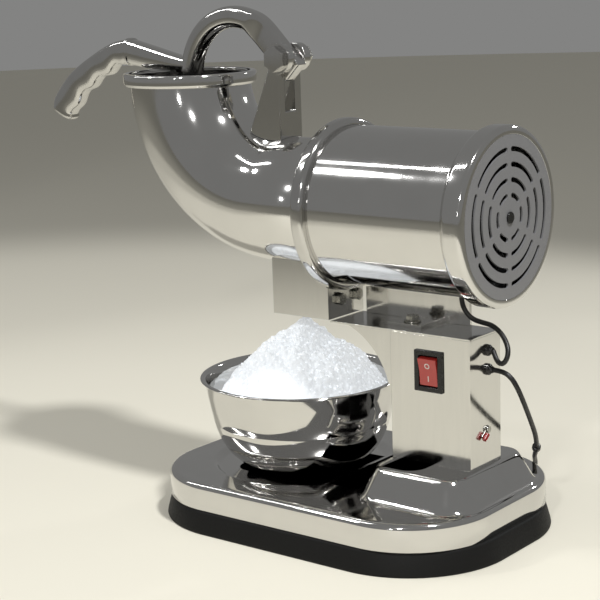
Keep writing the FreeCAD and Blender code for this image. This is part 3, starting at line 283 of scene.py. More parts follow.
def rounded(points: Sequence[tuple[float, float, float]], steps: int = 6,
            closed: bool = True) -> list[Point]:
    """Rounds the corners of an outline.

    Args:
        points: Corners as (across, up, corner radius).
        steps: The number of short lines in each rounded corner.
        closed: Whether the last corner joins the first.

    Returns:
        The outline's points, with each corner as a short arc.
    """
    outline: list[Point] = []
    count = len(points)
    for index, (across, up, radius) in enumerate(points):
        here = Vector((across, up))
        if radius <= 0 or (not closed and index in (0, count - 1)):
            outline.append((across, up))
            continue
        before = Vector(points[index - 1][:2]) - here
        after = Vector(points[(index + 1) % count][:2]) - here
        half = before.angle(after) / 2
        reach = radius / math.tan(half)
        start, end = here + before.normalized() * reach, here + after.normalized() * reach
        for step in range(steps + 1):
            share = step / steps
            blend = start.lerp(here, share).lerp(here.lerp(end, share), share)
            outline.append((blend.x, blend.y))
    return outline


def turned(outline: Iterable[Point], axis: Axis, centre: Vector, closed: bool = True,
           steps: int = 160) -> bmesh.types.BMesh:
    """Spins an outline about an axis through a centre.

    Args:
        outline: Points as (along the axis, radius), in metres.
        axis: The direction of the axis.
        centre: A point on the axis, from which the outline is measured.
        closed: Whether the outline is closed.
        steps: The number of facets round the axis.

    Returns:
        The turned mesh.
    """
    bm = bmesh.new()
    spots = []
    for along, radius in outline:
        if axis is Axis.MOTOR:
            spots.append(bm.verts.new(centre + Vector((along, 0, radius))))
        else:
            spots.append(bm.verts.new(centre + Vector((radius, 0, along))))
    lines = [bm.edges.new(pair) for pair in zip(spots, spots[1:])]
    if closed:
        lines.append(bm.edges.new((spots[-1], spots[0])))
    direction = Vector((1, 0, 0)) if axis is Axis.MOTOR else Vector((0, 0, 1))
    bmesh.ops.spin(bm, geom=spots + lines, cent=centre, axis=direction, angle=2 * math.pi,
                   steps=steps, use_merge=True)
    bmesh.ops.remove_doubles(bm, verts=bm.verts, dist=1e-6)
    return bm


@dataclass(frozen=True)
class Section:
    """One cross-section of a lofted bar, in the upright plane that the bar lies in.

    Attributes:
        x: Where its middle is.
        z: How high its middle is.
        angle: The direction that the bar runs there, in degrees above +X.
        half_width: Half its size across that plane.
        half_depth: Half its size in the plane.
        square: Two for an ellipse, and more for a squarer section.
    """

    x: float
    z: float
    angle: float
    half_width: float
    half_depth: float
    square: float = 2.6


def lofted(sections: Sequence[Section], y: float = 0.0, around: int = 56) -> bmesh.types.BMesh:
    """Bridges a row of cross-sections, given in millimetres, and closes both ends.

    Args:
        sections: The cross-sections, in order.
        y: Where the bar's own plane is, in metres.
        around: The number of points round each section.

    Returns:
        The bar's mesh, in metres.
    """
    bm = bmesh.new()
    rings = []
    for section in sections:
        made = bmesh.ops.create_circle(bm, cap_ends=False, segments=around, radius=1.0)
        turn = math.radians(section.angle)
        up = Vector((-math.sin(turn), 0, math.cos(turn)))
        power = 2 / section.square
        for vert in made["verts"]:
            across, rise = vert.co.x, vert.co.y
            across = math.copysign(abs(across) ** power, across) * section.half_width
            rise = math.copysign(abs(rise) ** power, rise) * section.half_depth
            spot = Vector((section.x, across, section.z)) + up * rise
            vert.co = spot * MM + Vector((0, y, 0))
        rings.append(list({edge for vert in made["verts"] for edge in vert.link_edges}))
    for one, other in zip(rings, rings[1:]):
        bmesh.ops.bridge_loops(bm, edges=one + other)
    for end in (rings[0], rings[-1]):
        bmesh.ops.contextual_create(bm, geom=end)
    return bm


def softened(node: str, name: str, finish: Finish, body: str, width_mm: float,
             segments: int = 2) -> bpy.types.Object:
    """Copies a CAD node, merges its loose triangles and rounds its edges.

    Args:
        node: The CAD node.
        name: The new piece's name.
        finish: The finish on it.
        body: The CAD body that it moves with.
        width_mm: How wide the rounded edges are.
        segments: The number of faces across each rounded edge.

    Returns:
        The piece, which replaces the node.
    """
    bm = bmesh.new()
    bm.from_mesh(bpy.data.objects[node].data)
    bmesh.ops.remove_doubles(bm, verts=bm.verts, dist=2e-6)
    bmesh.ops.dissolve_limit(bm, angle_limit=math.radians(0.5), verts=bm.verts, edges=bm.edges)
    sharp = [edge for edge in bm.edges if len(edge.link_faces) == 2
             and edge.calc_face_angle(0.0) > math.radians(40)]
    bmesh.ops.bevel(bm, geom=sharp, offset=width_mm * MM, affect="EDGES", segments=segments,
                    profile=0.5, material=-1, clamp_overlap=True)
    piece = piece_from(bm, name, finish, body, [node], flip_check=False)
    flat = piece.modifiers.new("flat_faces", "WEIGHTED_NORMAL")
    flat.keep_sharp = True
    flat.weight = 100
    return piece


# ---------------------------------------------------------------- the studio


@dataclass
class Studio:
    """The camera, pale floor, soft lights and dim room round the machine."""

    camera_place: Vector = field(default_factory=lambda: Vector((0.786, -1.047, 0.4615)))
    camera_azimuth: float = 38.02
    camera_pitch: float = -12.96
    camera_roll: float = -1.77
    lens: float = 98.36
    shift: Point = (-0.0327, 0.0477)
    floor_radius: float = 6.0
    lamp_distance: float = 2.4
    pool_edge: float = 0.2
    tube_size: Point = (1.7, 0.08)

    def camera(self) -> None:
        """Sets up the camera."""
        azimuth, pitch = math.radians(self.camera_azimuth), math.radians(self.camera_pitch)
        ahead = Vector((-math.sin(azimuth) * math.cos(pitch), math.cos(azimuth) * math.cos(pitch),
                        math.sin(pitch)))
        level = Vector((math.cos(azimuth), math.sin(azimuth), 0))
        upward = level.cross(ahead)
        roll = math.radians(self.camera_roll)
        right = level * math.cos(roll) + upward * math.sin(roll)
        top = upward * math.cos(roll) - level * math.sin(roll)
        data = bpy.data.cameras.new("camera")
        data.lens, data.sensor_width = self.lens, 36.0
        data.shift_x, data.shift_y = self.shift
        data.clip_start, data.clip_end = 0.05, 50.0
        camera = bpy.data.objects.new("camera", data)
        turn = Matrix((right, top, -ahead)).transposed().to_4x4()
        camera.matrix_world = Matrix.Translation(self.camera_place) @ turn
        bpy.context.scene.collection.objects.link(camera)
        bpy.context.scene.camera = camera

    def floor(self) -> None:
        """Lays a plain pale floor."""
        bm = bmesh.new()
        bmesh.ops.create_circle(bm, cap_ends=True, segments=96, radius=self.floor_radius)
        mesh = bpy.data.meshes.new("floor")
        bm.to_mesh(mesh)
        bm.free()
        material = bpy.data.materials.new("cream_counter")
        material.use_nodes = True
        tree = material.node_tree
        tree.nodes.clear()
        shader = add_node(tree, "ShaderNodeBsdfPrincipled",
                          inputs={"Base Color": srgb("e4e0d1"), "Roughness": 0.65})
        add_node(tree, "ShaderNodeOutputMaterial", links={"Surface": shader.outputs["BSDF"]})
        mesh.materials.append(material)
        floor = bpy.data.objects.new("floor", mesh)
        bpy.context.scene.collection.objects.link(floor)

    def room(self) -> None:
        """Sets a dim grey room all round."""
        world = bpy.data.worlds.new("dim_room")
        world.use_nodes = True
        tree = world.node_tree
        tree.nodes.clear()
        surround = add_node(tree, "ShaderNodeBackground",
                            inputs={"Color": srgb("838382"), "Strength": 1.0})
        add_node(tree, "ShaderNodeOutputWorld", links={"Surface": surround.outputs["Background"]})
        bpy.context.scene.world = world

    def lamp(self, name: str, way: Sequence[float], watts: float, radius: float,
             pool: float) -> None:
        """Adds one soft round spotlight that lights a pool of floor round the machine.

        Args:
            name: The lamp's name.
            way: The direction from the machine to the lamp.
            watts: Its power.
            radius: How large its own disc is, which softens its shadows.
            pool: The radius that it lights at the machine.
        """
        data = bpy.data.lights.new(name, "SPOT")
        data.energy, data.shadow_soft_size = watts, radius
        data.spot_size = 2 * math.atan(pool / self.lamp_distance)
        data.spot_blend = self.pool_edge
        lamp = bpy.data.objects.new(name, data)
        aim = Vector((0.0, 0.0, 0.12))
        place = aim + Vector(way).normalized() * self.lamp_distance
        lamp.matrix_world = (Matrix.Translation(place)
                             @ (aim - place).to_track_quat("-Z", "Y").to_matrix().to_4x4())
        bpy.context.scene.collection.objects.link(lamp)

    def strip(self, name: str, way: Sequence[float], watts: float) -> None:
        """Adds one long thin lamp that lies along the machine, for a long narrow highlight.

        Args:
            name: The lamp's name.
            way: The direction from the machine to the lamp.
            watts: Its power.
        """
        data = bpy.data.lights.new(name, "AREA")
        data.energy, data.shape = watts, "RECTANGLE"
        data.size, data.size_y = self.tube_size
        aim = Vector((0.0, 0.0, 0.12))
        place = aim + Vector(way).normalized() * self.lamp_distance
        back = (place - aim).normalized()
        along = Vector((1.0, 0.0, 0.0))
        across = back.cross(along).normalized()
        turn = Matrix((across.cross(back), across, back)).transposed().to_4x4()
        lamp = bpy.data.objects.new(name, data)
        lamp.matrix_world = Matrix.Translation(place) @ turn
        bpy.context.scene.collection.objects.link(lamp)

    def build(self) -> None:
        """Builds the whole studio."""
        bpy.context.scene.view_settings.view_transform = "Standard"
        self.camera()
        self.floor()
        self.room()
        for name, way, watts, radius, pool in (
                ("overhead", (0.47, -0.13, 0.87), 180.0, 0.12, 1.0),
                ("high_left", (-0.55, -0.45, 0.70), 26.0, 0.10, 0.9),
                ("front", (0.32, -0.81, 0.49), 46.0, 0.08, 0.9),
                ("low_front", (0.2, -0.95, 0.22), 6.0, 0.07, 0.5),
                ("back", (0.25, 0.87, 0.43), 18.0, 0.08, 0.7)):
            self.lamp(name, way, watts, radius, pool)
        self.strip("long_tube", (-0.63, -0.26, 0.73), 8.0)


# ---------------------------------------------------------------- base


@dataclass
class BaseTray:
    """The pressed steel tray with its column seat and bowl recess, on a rubber foot."""

    corner_mm: float = 74.0
    edge_mm: float = 5.0
    seat_corner_mm: float = 13.0
    slope_mm: float = 18.0
    recess_mm: float = 77.0
    recess_depth_mm: float = 4.0
    recess_wall_mm: float = 6.0
    seat_rise_mm: float = 23.7
    seat_shift_mm: float = 1.5
    seat_room_mm: float = 1.0
    seat_half_y_mm: float = 50.0
    tuck_mm: float = 5.0
    lip_mm: float = 0.6
    ring_gap_mm: float = 2.0
    core_from_mm: float = 62.0
    edge_steps: int = 8
    core_rings: int = 24
    around: int = 420

    @staticmethod
    def ramp(share: float, soft: float = 0.22) -> float:
        """Rises from 0 to 1 over share 0 to 1, straight in the middle and soft at both ends."""
        share = min(max(share, 0.0), 1.0)
        slope = 1.0 / (1.0 - soft)
        if share < soft:
            return slope * share * share / (2 * soft)
        if share > 1 - soft:
            return 1 - slope * (1 - share) ** 2 / (2 * soft)
        return slope * (share - soft / 2)

    @staticmethod
    def outside(x: float, y: float, half_x: float, half_y: float, corner: float) -> float:
        """Returns how far a point is outside a rounded rectangle, negative inside."""
        over_x, over_y = abs(x) - half_x + corner, abs(y) - half_y + corner
        return (math.hypot(max(over_x, 0.0), max(over_y, 0.0))
                + min(max(over_x, over_y), 0.0) - corner)

    @staticmethod
    def walk(share: float, half_x: float, half_y: float, corner: float) -> Point:
        """Returns the point a share of the way round a rounded rectangle."""
        flat_x, flat_y, arc = half_x - corner, half_y - corner, corner * math.pi / 2
        lengths = [flat_y, arc, 2 * flat_x, arc, 2 * flat_y, arc, 2 * flat_x, arc, flat_y]
        left = share * sum(lengths)
        part = 0
        while part < 8 and left > lengths[part]:
            left -= lengths[part]
            part += 1
        turn = left / corner if corner else 0.0
        cos, sin = math.cos(turn) * corner, math.sin(turn) * corner
        return (
            (half_x, left), (flat_x + cos, flat_y + sin), (flat_x - left, half_y),
            (-flat_x - sin, flat_y + cos), (-half_x, flat_y - left),
            (-flat_x - cos, -flat_y - sin), (-flat_x + left, -half_y),
            (flat_x + sin, -flat_y - cos), (half_x, -flat_y + left))[part]

    def ring(self, bm: bmesh.types.BMesh, half: Point, corner: float,
             height: Callable[[float, float], float]) -> list[bmesh.types.BMEdge]:
        """Adds one rounded-rectangle ring of edges.

        Args:
            bm: The mesh to add to.
            half: Half the ring's length and width.
            corner: Its corner radius.
            height: Gives the height at a point.

        Returns:
            The ring's edges.
        """
        made = bmesh.ops.create_circle(bm, cap_ends=False, segments=self.around, radius=1.0)
        for index, vert in enumerate(made["verts"]):
            x, y = self.walk(index / self.around, half[0], half[1], corner)
            vert.co = Vector((x, y, height(x, y)))
        return list({edge for vert in made["verts"] for edge in vert.link_edges})

    def tray(self) -> None:
        """Builds the steel tray."""
        low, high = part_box("base_shell")
        seat_low, seat_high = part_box("column_shell")
        bowl_low, bowl_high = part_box("bowl")
        half = Vector(((high[0] - low[0]) / 2, (high[1] - low[1]) / 2))
        corner, edge = self.corner_mm * MM, self.edge_mm * MM
        seat_top = high[2]
        top = seat_top - self.seat_rise_mm * MM
        bowl_x = (bowl_low[0] + bowl_high[0]) / 2
        seat_x = (seat_low[0] + seat_high[0]) / 2 + self.seat_shift_mm * MM
        seat_half = ((seat_high[0] - seat_low[0]) / 2 + self.seat_room_mm * MM,
                     self.seat_half_y_mm * MM)
        slope, recess = self.slope_mm * MM, self.recess_mm * MM

        def height(x: float, y: float) -> float:
            """Returns the tray's height at a point."""
            inset = -self.outside(x, y, half.x, half.y, corner)
            level = top
            if inset < edge:
                level -= edge - math.sqrt(max(edge ** 2 - (edge - max(inset, 0.0)) ** 2, 0.0))
            away = self.outside(x - seat_x, y, seat_half[0], seat_half[1], self.seat_corner_mm * MM)
            level += (seat_top - top) * (1 - self.ramp(away / slope))
            from_bowl = (math.hypot(x - bowl_x, y) - recess) / (self.recess_wall_mm * MM)
            level -= self.recess_depth_mm * MM * (1 - self.ramp(from_bowl + 1, 0.3))
            return level

        bm = bmesh.new()
        lip = self.lip_mm * MM
        rings = [self.ring(bm, (half.x - inset, half.y - inset), corner - inset,
                           lambda x, y: low[2]) for inset in (self.tuck_mm * MM, lip)]
        rings.append(self.ring(bm, (half.x, half.y), corner, lambda x, y: low[2] + lip))
        insets = [edge * (1 - math.cos(math.pi / 2 * step / self.edge_steps))
                  for step in range(self.edge_steps + 1)]
        while insets[-1] < self.core_from_mm * MM:
            insets.append(insets[-1] + self.ring_gap_mm * MM)
        for inset in insets:
            rings.append(self.ring(bm, (half.x - inset, half.y - inset), corner - inset, height))
        last = insets[-1]
        for step in range(1, self.core_rings):
            share = 1 - step / self.core_rings
            rings.append(self.ring(
                bm, ((half.x - last) * share, (half.y - last) * share),
                (corner - last) * share, height))
        for outer, inner in zip(rings, rings[1:]):
            bmesh.ops.bridge_loops(bm, edges=outer + inner)
        bmesh.ops.contextual_create(bm, geom=rings[-1])
        bmesh.ops.recalc_face_normals(bm, faces=bm.faces)
        skirt_top = low[2] + self.edge_mm * MM
        downward = [face for face in bm.faces
                    if face.normal.z < -0.1 and face.calc_center_median().z > skirt_top]
        bmesh.ops.reverse_faces(bm, faces=downward)
        piece_from(bm, "base_tray", Finishes.STEEL, "stand", ["base_shell"],
                   sharp=80, flip_check=False)

    def foot(self) -> None:
        """Builds the rubber foot."""
        low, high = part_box("rubber_foot")
        half = ((high[0] - low[0]) / 2, (high[1] - low[1]) / 2)
        profile = [(3.0, 0.0), (0.8, 0.0), (0.2, 0.4), (0.0, 1.2), (0.3, 3.0), (2.2, 10.0),
                   (4.2, 16.4), (4.9, 17.8), (6.2, 18.5), (11.0, 18.5)]
        bm = bmesh.new()
        rings = [self.ring(bm, (half[0] - inset * MM, half[1] - inset * MM), (86 - inset) * MM,
                           lambda x, y, z=z: z * MM) for inset, z in profile]
        for outer, inner in zip(rings, rings[1:]):
            bmesh.ops.bridge_loops(bm, edges=outer + inner)
        bmesh.ops.contextual_create(bm, geom=rings[0])
        piece_from(bm, "rubber_skirt", Finishes.RUBBER, "stand", ["rubber_foot"],
                   sharp=60)

    def build(self) -> None:
        """Builds the tray and the foot."""
        self.tray()
        self.foot()


# ---------------------------------------------------------------- motor case


@dataclass
class MotorCase:
    """The round housing with its front ring and flared end ring; the slotted cover stays a CAD
    node.
    """

    def build(self) -> None:
        """Builds the case."""
        low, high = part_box("motor_housing")
        axis = Vector((0, 0, (low[2] + high[2]) / 2))
        radius = (high[2] - low[2]) / 2
        shell = rounded([(low[0], radius, 0), (high[0], radius, 0), (high[0], radius - 1.5 * MM, 0),
                         (low[0], radius - 1.5 * MM, 0)])
        piece_from(turned(shell, Axis.MOTOR, axis), "housing_tube", Finishes.STEEL, "stand",
                   ["motor_housing"])
        ring_low, ring_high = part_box("front_ring")
        ring = (ring_high[2] - ring_low[2]) / 2
        left, right = ring_low[0], ring_high[0]
        front = rounded([(left, ring, 4.5 * MM), (right, ring, 4.5 * MM), (right, radius, 0.4 * MM),
                         (0.0, radius, 0), (0.0, 51.6 * MM, 0), (left, 51.6 * MM, 0.5 * MM)], 8)
        piece_from(turned(front, Axis.MOTOR, axis), "front_bead", Finishes.CASTING, "stand",
                   ["front_ring"])
        end_low, end_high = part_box("end_ring")
        face, start = end_high[0], end_low[0]
        flare = (end_high[2] - end_low[2]) / 2
        seat = (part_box("end_cover")[1][2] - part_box("end_cover")[0][2]) / 2 + 0.1 * MM
        end = rounded([(start, radius - 1.5 * MM, 0), (start, radius + 0.6 * MM, 0.5 * MM),
                       (start + 5 * MM, flare, 5 * MM), (face, flare, 4.5 * MM),
                       (face, seat, 0.4 * MM), (face - 1.5 * MM, seat, 0),
                       (face - 1.5 * MM, seat - 3 * MM, 0), (face - 4 * MM, seat - 3 * MM, 0),
                       (face - 4 * MM, radius - 1.5 * MM, 0)], 8)
        piece_from(turned(end, Axis.MOTOR, axis), "flared_end_ring", Finishes.STEEL, "stand",
                   ["end_ring"])


# ---------------------------------------------------------------- hopper


@dataclass
class Hopper:
    """The bent hopper tube and the folded collar round its mouth."""

    bend_mm: float = 100.0
    wall_mm: float = 3.0

    def build(self) -> None:
        """Builds the tube and the collar."""
        low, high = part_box("hopper_elbow")
        collar_low, collar_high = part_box("hopper_collar")
        motor_low, motor_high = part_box("motor_housing")
        axis_z = (motor_low[2] + motor_high[2]) / 2
        mouth_x = (collar_low[0] + collar_high[0]) / 2
        radius = (high[1] - low[1]) / 2
        bend = self.bend_mm * MM
        bm = bmesh.new()
        made = bmesh.ops.create_circle(bm, cap_ends=False, segments=160, radius=radius)
        start = Matrix.Translation((mouth_x, 0, axis_z + bend))
        bmesh.ops.transform(bm, matrix=start, verts=made["verts"])
        edges = list(bm.edges)
        mouth = bmesh.ops.extrude_edge_only(bm, edges=edges)
        lift = [item for item in mouth["geom"] if isinstance(item, bmesh.types.BMVert)]
        bmesh.ops.translate(bm, verts=lift, vec=(0, 0, high[2] - axis_z - bend))
        swept = bmesh.ops.spin(bm, geom=edges, cent=(mouth_x + bend, 0, axis_z + bend),
                               axis=(0, 1, 0), angle=-math.pi / 2, steps=90)
        last = [item for item in swept["geom_last"] if isinstance(item, bmesh.types.BMEdge)]
        along = bmesh.ops.extrude_edge_only(bm, edges=last)
        moved = [item for item in along["geom"] if isinstance(item, bmesh.types.BMVert)]
        bmesh.ops.translate(bm, verts=moved, vec=(high[0] - mouth_x - bend, 0, 0))
        bmesh.ops.remove_doubles(bm, verts=bm.verts, dist=1e-6)
        tube = piece_from(bm, "hopper_tube", Finishes.STEEL, "stand", ["hopper_elbow"])
        wall = tube.modifiers.new("wall", "SOLIDIFY")
        wall.thickness, wall.offset = self.wall_mm * MM, -1.0
        centre = Vector((mouth_x, 0, 0))
        outer = (collar_high[0] - collar_low[0]) / 2
        band = rounded([(collar_low[2], radius, 0), (collar_low[2], outer - 1.2 * MM, 1.2 * MM),
                        (collar_low[2] + 2.2 * MM, outer, 1.0 * MM),
                        (collar_high[2], outer, 2.2 * MM),
                        (collar_high[2], radius - 3.4 * MM, 1.2 * MM),
                        (collar_high[2] - 1.6 * MM, radius - 3.4 * MM, 0.3 * MM),
                        (collar_high[2] - 1.6 * MM, radius, 0)], 6)
        piece_from(turned(band, Axis.UPRIGHT, centre), "mouth_collar", Finishes.STEEL, "stand",
                   ["hopper_collar"])


# ---------------------------------------------------------------- bowl


@dataclass
class ServingBowl:
    """The spun steel bowl."""

    wall_mm: float = 1.2
    # The outside as radius and height over the foot.
    outline: tuple[Point, ...] = (
        (0.0, 1.0), (30, 0.6), (37, 0.0), (46, 2.2), (56, 7.2), (64.2, 15.2), (70, 25),
        (73.4, 34.5), (74.6, 39.4), (74.6, 40.3), (75.3, 41.2), (77.8, 53), (80.2, 65))

    def build(self) -> None:
        """Builds the bowl."""
        low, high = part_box("bowl")
        centre = Vector(((low[0] + high[0]) / 2, 0, 0))
        rim, top, foot = (high[0] - low[0]) / 2, high[2], low[2]
        wall = self.wall_mm * MM
        outside = [(foot + rise * MM, radius * MM) for radius, rise in self.outline]
        outside.append((top - 3.2 * MM, 81.6 * MM))
        lip = [(top - 1.8 * MM, 82.4 * MM), (top - 1.5 * MM, rim - 0.6 * MM),
               (top - 0.9 * MM, rim), (top - 0.3 * MM, rim - 0.3 * MM), (top, rim - 1.2 * MM),
               (top - 0.2 * MM, 82 * MM), (top - 1.4 * MM, 80.6 * MM)]
        inside = [(z + wall * 0.9, max(radius - wall * 0.7, 0.0))
                  for z, radius in outside[::-1][1:]]
        bm = turned(outside + lip + inside, Axis.UPRIGHT, centre, closed=False, steps=180)
        piece_from(bm, "spun_bowl", Finishes.STEEL, "bowl", ["bowl"], sharp=50)


@dataclass
class IceHeap:
    """A loose, crumbly heap of shaved ice that fills the bowl."""

    reach_mm: float = 76.0
    low_mm: float = 91.0
    dome_mm: float = 56.0
    knob_mm: float = 14.0
    peak_x_mm: float = 1.5
    peak_y_mm: float = 3.4
    dome_power: float = 2.3
    knob_reach_mm: float = 14.0
    lump_size_mm: float = 17.0
    lump_rise_mm: float = 5.0
    grain_size_mm: float = 3.4
    grain_rise_mm: float = 2.2
    wobble_mm: float = 0.9
    under_mm: float = 14.0
    under_share: float = 0.93
    rings: int = 130
    around: int = 300

    def height(self, x: float, y: float) -> float:
        """Returns the heap's height over the bowl's shoulder, in millimetres."""
        away = math.hypot(x - self.peak_x_mm, y - self.peak_y_mm)
        dome = self.dome_mm * (1 - min(away / self.reach_mm, 1.0) ** self.dome_power)
        dome += self.knob_mm * math.exp(-(away / self.knob_reach_mm) ** 2)
        lumps = noise.fractal(Vector((x, y, 3.0)) / self.lump_size_mm, 0.9, 2.1, 4)
        grains = noise.fractal(Vector((x, y, 8.0)) / self.grain_size_mm, 0.6, 2.2, 3)
        calm = min(1.0, max(0.0, (1.0 - math.hypot(x, y) / self.reach_mm) * 6.0))
        return dome + (lumps * self.lump_rise_mm + grains * self.grain_rise_mm) * calm

    def build(self) -> None:
        """Builds the heap and its loose crumbs."""
        low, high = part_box("bowl")
        middle = Vector(((low[0] + high[0]) / 2, 0, 0))
        bm = bmesh.new()
        made = []
        for step in range(self.rings + 1):
            radius = self.reach_mm * (1 - step / (self.rings + 1))
            ring = bmesh.ops.create_circle(bm, cap_ends=False, segments=self.around, radius=radius)
            for vert in ring["verts"]:
                x, y = vert.co.x, vert.co.y
                wobble = noise.noise_vector(Vector((x, y, 1.0)) / 3.0)
                rise = self.low_mm + self.height(x, y)
                spot = Vector((x + wobble.x * self.wobble_mm, y + wobble.y * self.wobble_mm, rise))
                vert.co = spot * MM + middle
            made.append(list({edge for vert in ring["verts"] for edge in vert.link_edges}))
        for outer, inner in zip(made, made[1:]):
            bmesh.ops.bridge_loops(bm, edges=outer + inner)
        bmesh.ops.contextual_create(bm, geom=made[-1])
        under = bmesh.ops.extrude_edge_only(bm, edges=made[0])
        lower = [item for item in under["geom"] if isinstance(item, bmesh.types.BMVert)]
        for vert in lower:
            away = vert.co - middle
            vert.co = middle + Vector((away.x * self.under_share, away.y * self.under_share,
                                       (self.low_mm - self.under_mm) * MM))
        bmesh.ops.contextual_create(
            bm, geom=[item for item in under["geom"] if isinstance(item, bmesh.types.BMEdge)])
        piece_from(bm, "shaved_ice", Finishes.ICE, "bowl", sharp=180)
        self.crumbs(middle)

    def crumbs(self, middle: Vector) -> None:
        """Scatters loose flakes over the heap.

        Args:
            middle: The middle of the bowl.
        """
        bm = bmesh.new()
        golden = math.pi * (3 - math.sqrt(5))
        for index in range(900):
            radius = self.reach_mm * 0.95 * math.sqrt((index + 0.5) / 900)
            x, y = radius * math.cos(index * golden), radius * math.sin(index * golden)
            shift = noise.noise_vector(Vector((x, y, 5.0)) / 2.0)
            x, y = x + shift.x * 3, y + shift.y * 3
            if math.hypot(x, y) > self.reach_mm * 0.96:
                continue
            size = 0.7 + 1.5 * abs(noise.noise(Vector((x, y, 9.0)) / 1.7))
            flake = bmesh.ops.create_icosphere(bm, subdivisions=1, radius=size * MM)
            rise = self.low_mm + self.height(x, y)
            turn = Matrix.Rotation(index * 1.7, 4, (1, 0.4, 0.2))
            squash = Matrix.Diagonal((1.0, 0.75, 0.5 + 0.4 * abs(shift.z), 1.0))
            place = Matrix.Translation(middle + Vector((x, y, rise + 0.2)) * MM)
            bmesh.ops.transform(bm, matrix=place @ turn @ squash, verts=flake["verts"])
        piece_from(bm, "ice_flakes", Finishes.ICE, "bowl", sharp=20)


# ---------------------------------------------------------------- lever


@dataclass
class LeverPress:
    """The arched lever with its flattened end, its arm and its finger-shaped grip."""

    arch: tuple[float, float, float] = (-112.0, 362.0, 49.0)
    leg_low: float = 334.0
    half_width: float = 8.5
    half_depth: float = 9.0
    flat_half_width: float = 6.0
    flat_half_depth: float = 10.0
    flat_length: float = 42.0
    finger_period: float = 25.3
    finger_start: float = 13.0
    finger_depth: float = 1.5

    def bow(self) -> None:
        """Builds the leg, the arch and the flattened end as one bar."""
        x, z, radius = self.arch
        sections = [Section(x - radius, self.leg_low, 90, self.half_width, self.half_depth),
                    Section(x - radius, z, 90, self.half_width, self.half_depth)]
        for step in range(1, 46):
            angle = 180 - 135 * step / 45
            flat = min(max((72 - angle) / 24, 0.0), 1.0)
            flat = flat * flat * (3 - 2 * flat)
            depth = self.half_depth + (self.flat_half_depth - self.half_depth) * flat
            reach = radius + self.half_depth - depth
            turn = math.radians(angle)
            sections.append(Section(
                x + reach * math.cos(turn), z + reach * math.sin(turn), angle - 90,
                self.half_width + (self.flat_half_width - self.half_width) * flat, depth,
                2.6 + 7.4 * flat))
        last = sections[-1]
        for along, shrink in ((self.flat_length * 0.5, 0.0), (self.flat_length - 1.6, 0.0),
                              (self.flat_length - 0.5, 0.45), (self.flat_length, 1.4)):
            sections.append(Section(
                last.x + along * math.sqrt(0.5), last.z - along * math.sqrt(0.5), -45,
                last.half_width - shrink, last.half_depth - shrink, 10.0))
        piece_from(lofted(sections), "arched_lever", Finishes.CASTING, "lever", ["lever_arm"],
                   sharp=50)

    def arm(self) -> None:
        """Builds the tapering arm between the arch and the grip."""
        rows = ((-158, 364.0, 375.5, 7.6), (-172, 364.6, 378.2, 8.2), (-185, 365.3, 381.2, 8.5),
                (-198, 366.2, 384.4, 8.6), (-210, 367.2, 387.2, 8.6), (-222, 368.7, 390.0, 8.6),
                (-229.5, 369.9, 391.6, 8.6), (-230.2, 369.0, 392.6, 9.5),
                (-232.4, 369.2, 392.9, 9.6), (-233.2, 370.0, 392.2, 8.9))
        sections = [Section(x, (low + high) / 2, 180, half, (high - low) / 2, 3.0)
                    for x, low, high, half in rows]
        piece_from(lofted(sections), "lever_shank", Finishes.CASTING, "lever", (),
                   sharp=40)

    def grip(self) -> None:
        """Builds the grip, thick at its fingertips' ridges and thin in its finger hollows."""
        back = [(-233, 392), (-247.6, 389.6), (-261.7, 384.7), (-276.2, 377.7), (-290.9, 370.1),
                (-302.2, 363), (-312.2, 354.8), (-320.3, 346.6), (-326.8, 338.4), (-329, 331.2)]
        front = [(-233, 370.8), (-246, 368.3), (-256, 362.8), (-266.5, 357.6), (-276.8, 351.8),
                 (-286.2, 345.2), (-293.8, 338.2), (-300, 331.8), (-304.4, 326.3), (-307.2, 320.6)]
        sections, walked = [], 0.0
        before = Vector(front[0])
        fine = 8
        for index in range((len(back) - 1) * fine + 1):
            part, share = divmod(index, fine)
            share /= fine
            if part == len(back) - 1:
                part, share = part - 1, 1.0
            outer, inner = self.between(back, part, share), self.between(front, part, share)
            walked += (inner - before).length
            before = inner
            phase = 2 * math.pi * (walked - self.finger_start) / self.finger_period
            fade = min(1.0, walked / 8.0, max(0.0, (93.0 - walked) / 4.0))
            inward = (outer - inner).normalized()
            inner = inner + inward * self.finger_depth * math.cos(phase) * fade
            middle = (outer + inner) / 2
            rise = outer - inner
            angle = math.degrees(math.atan2(rise.y, rise.x)) - 90
            sections.append(Section(middle.x, middle.y, angle, 8.8, rise.length / 2, 3.2))
        last = sections[-1]
        turn = math.radians(last.angle)
        for out, shrink in ((1.2, 0.5), (2.2, 1.4), (2.9, 3.0)):
            sections.append(Section(last.x - math.cos(turn) * out, last.z - math.sin(turn) * out,
                                    last.angle, last.half_width - shrink,
                                    last.half_depth - shrink, 3.0))
        piece_from(lofted(sections), "finger_grip", Finishes.CASTING, "lever", ["lever_grip"],
                   sharp=60)

    @staticmethod
    def between(points: Sequence[Point], part: int, share: float) -> Vector:
        """Returns a point on a smooth line through some points.

        Args:
            points: The points that the line goes through.
            part: The stretch that the point is on.
            share: How far along that stretch it is.

        Returns:
            The point.
        """
        spots = [Vector(points[min(max(place, 0), len(points) - 1)])
                 for place in (part - 1, part, part + 1, part + 2)]
        before, start, end, after = spots
        return 0.5 * (2 * start + (end - before) * share
                      + (2 * before - 5 * start + 4 * end - after) * share ** 2
                      + (3 * start - before - 3 * end + after) * share ** 3)

    def build(self) -> None:
        """Builds the whole lever."""
        self.bow()
        self.arm()
        self.grip()


# ---------------------------------------------------------------- switch


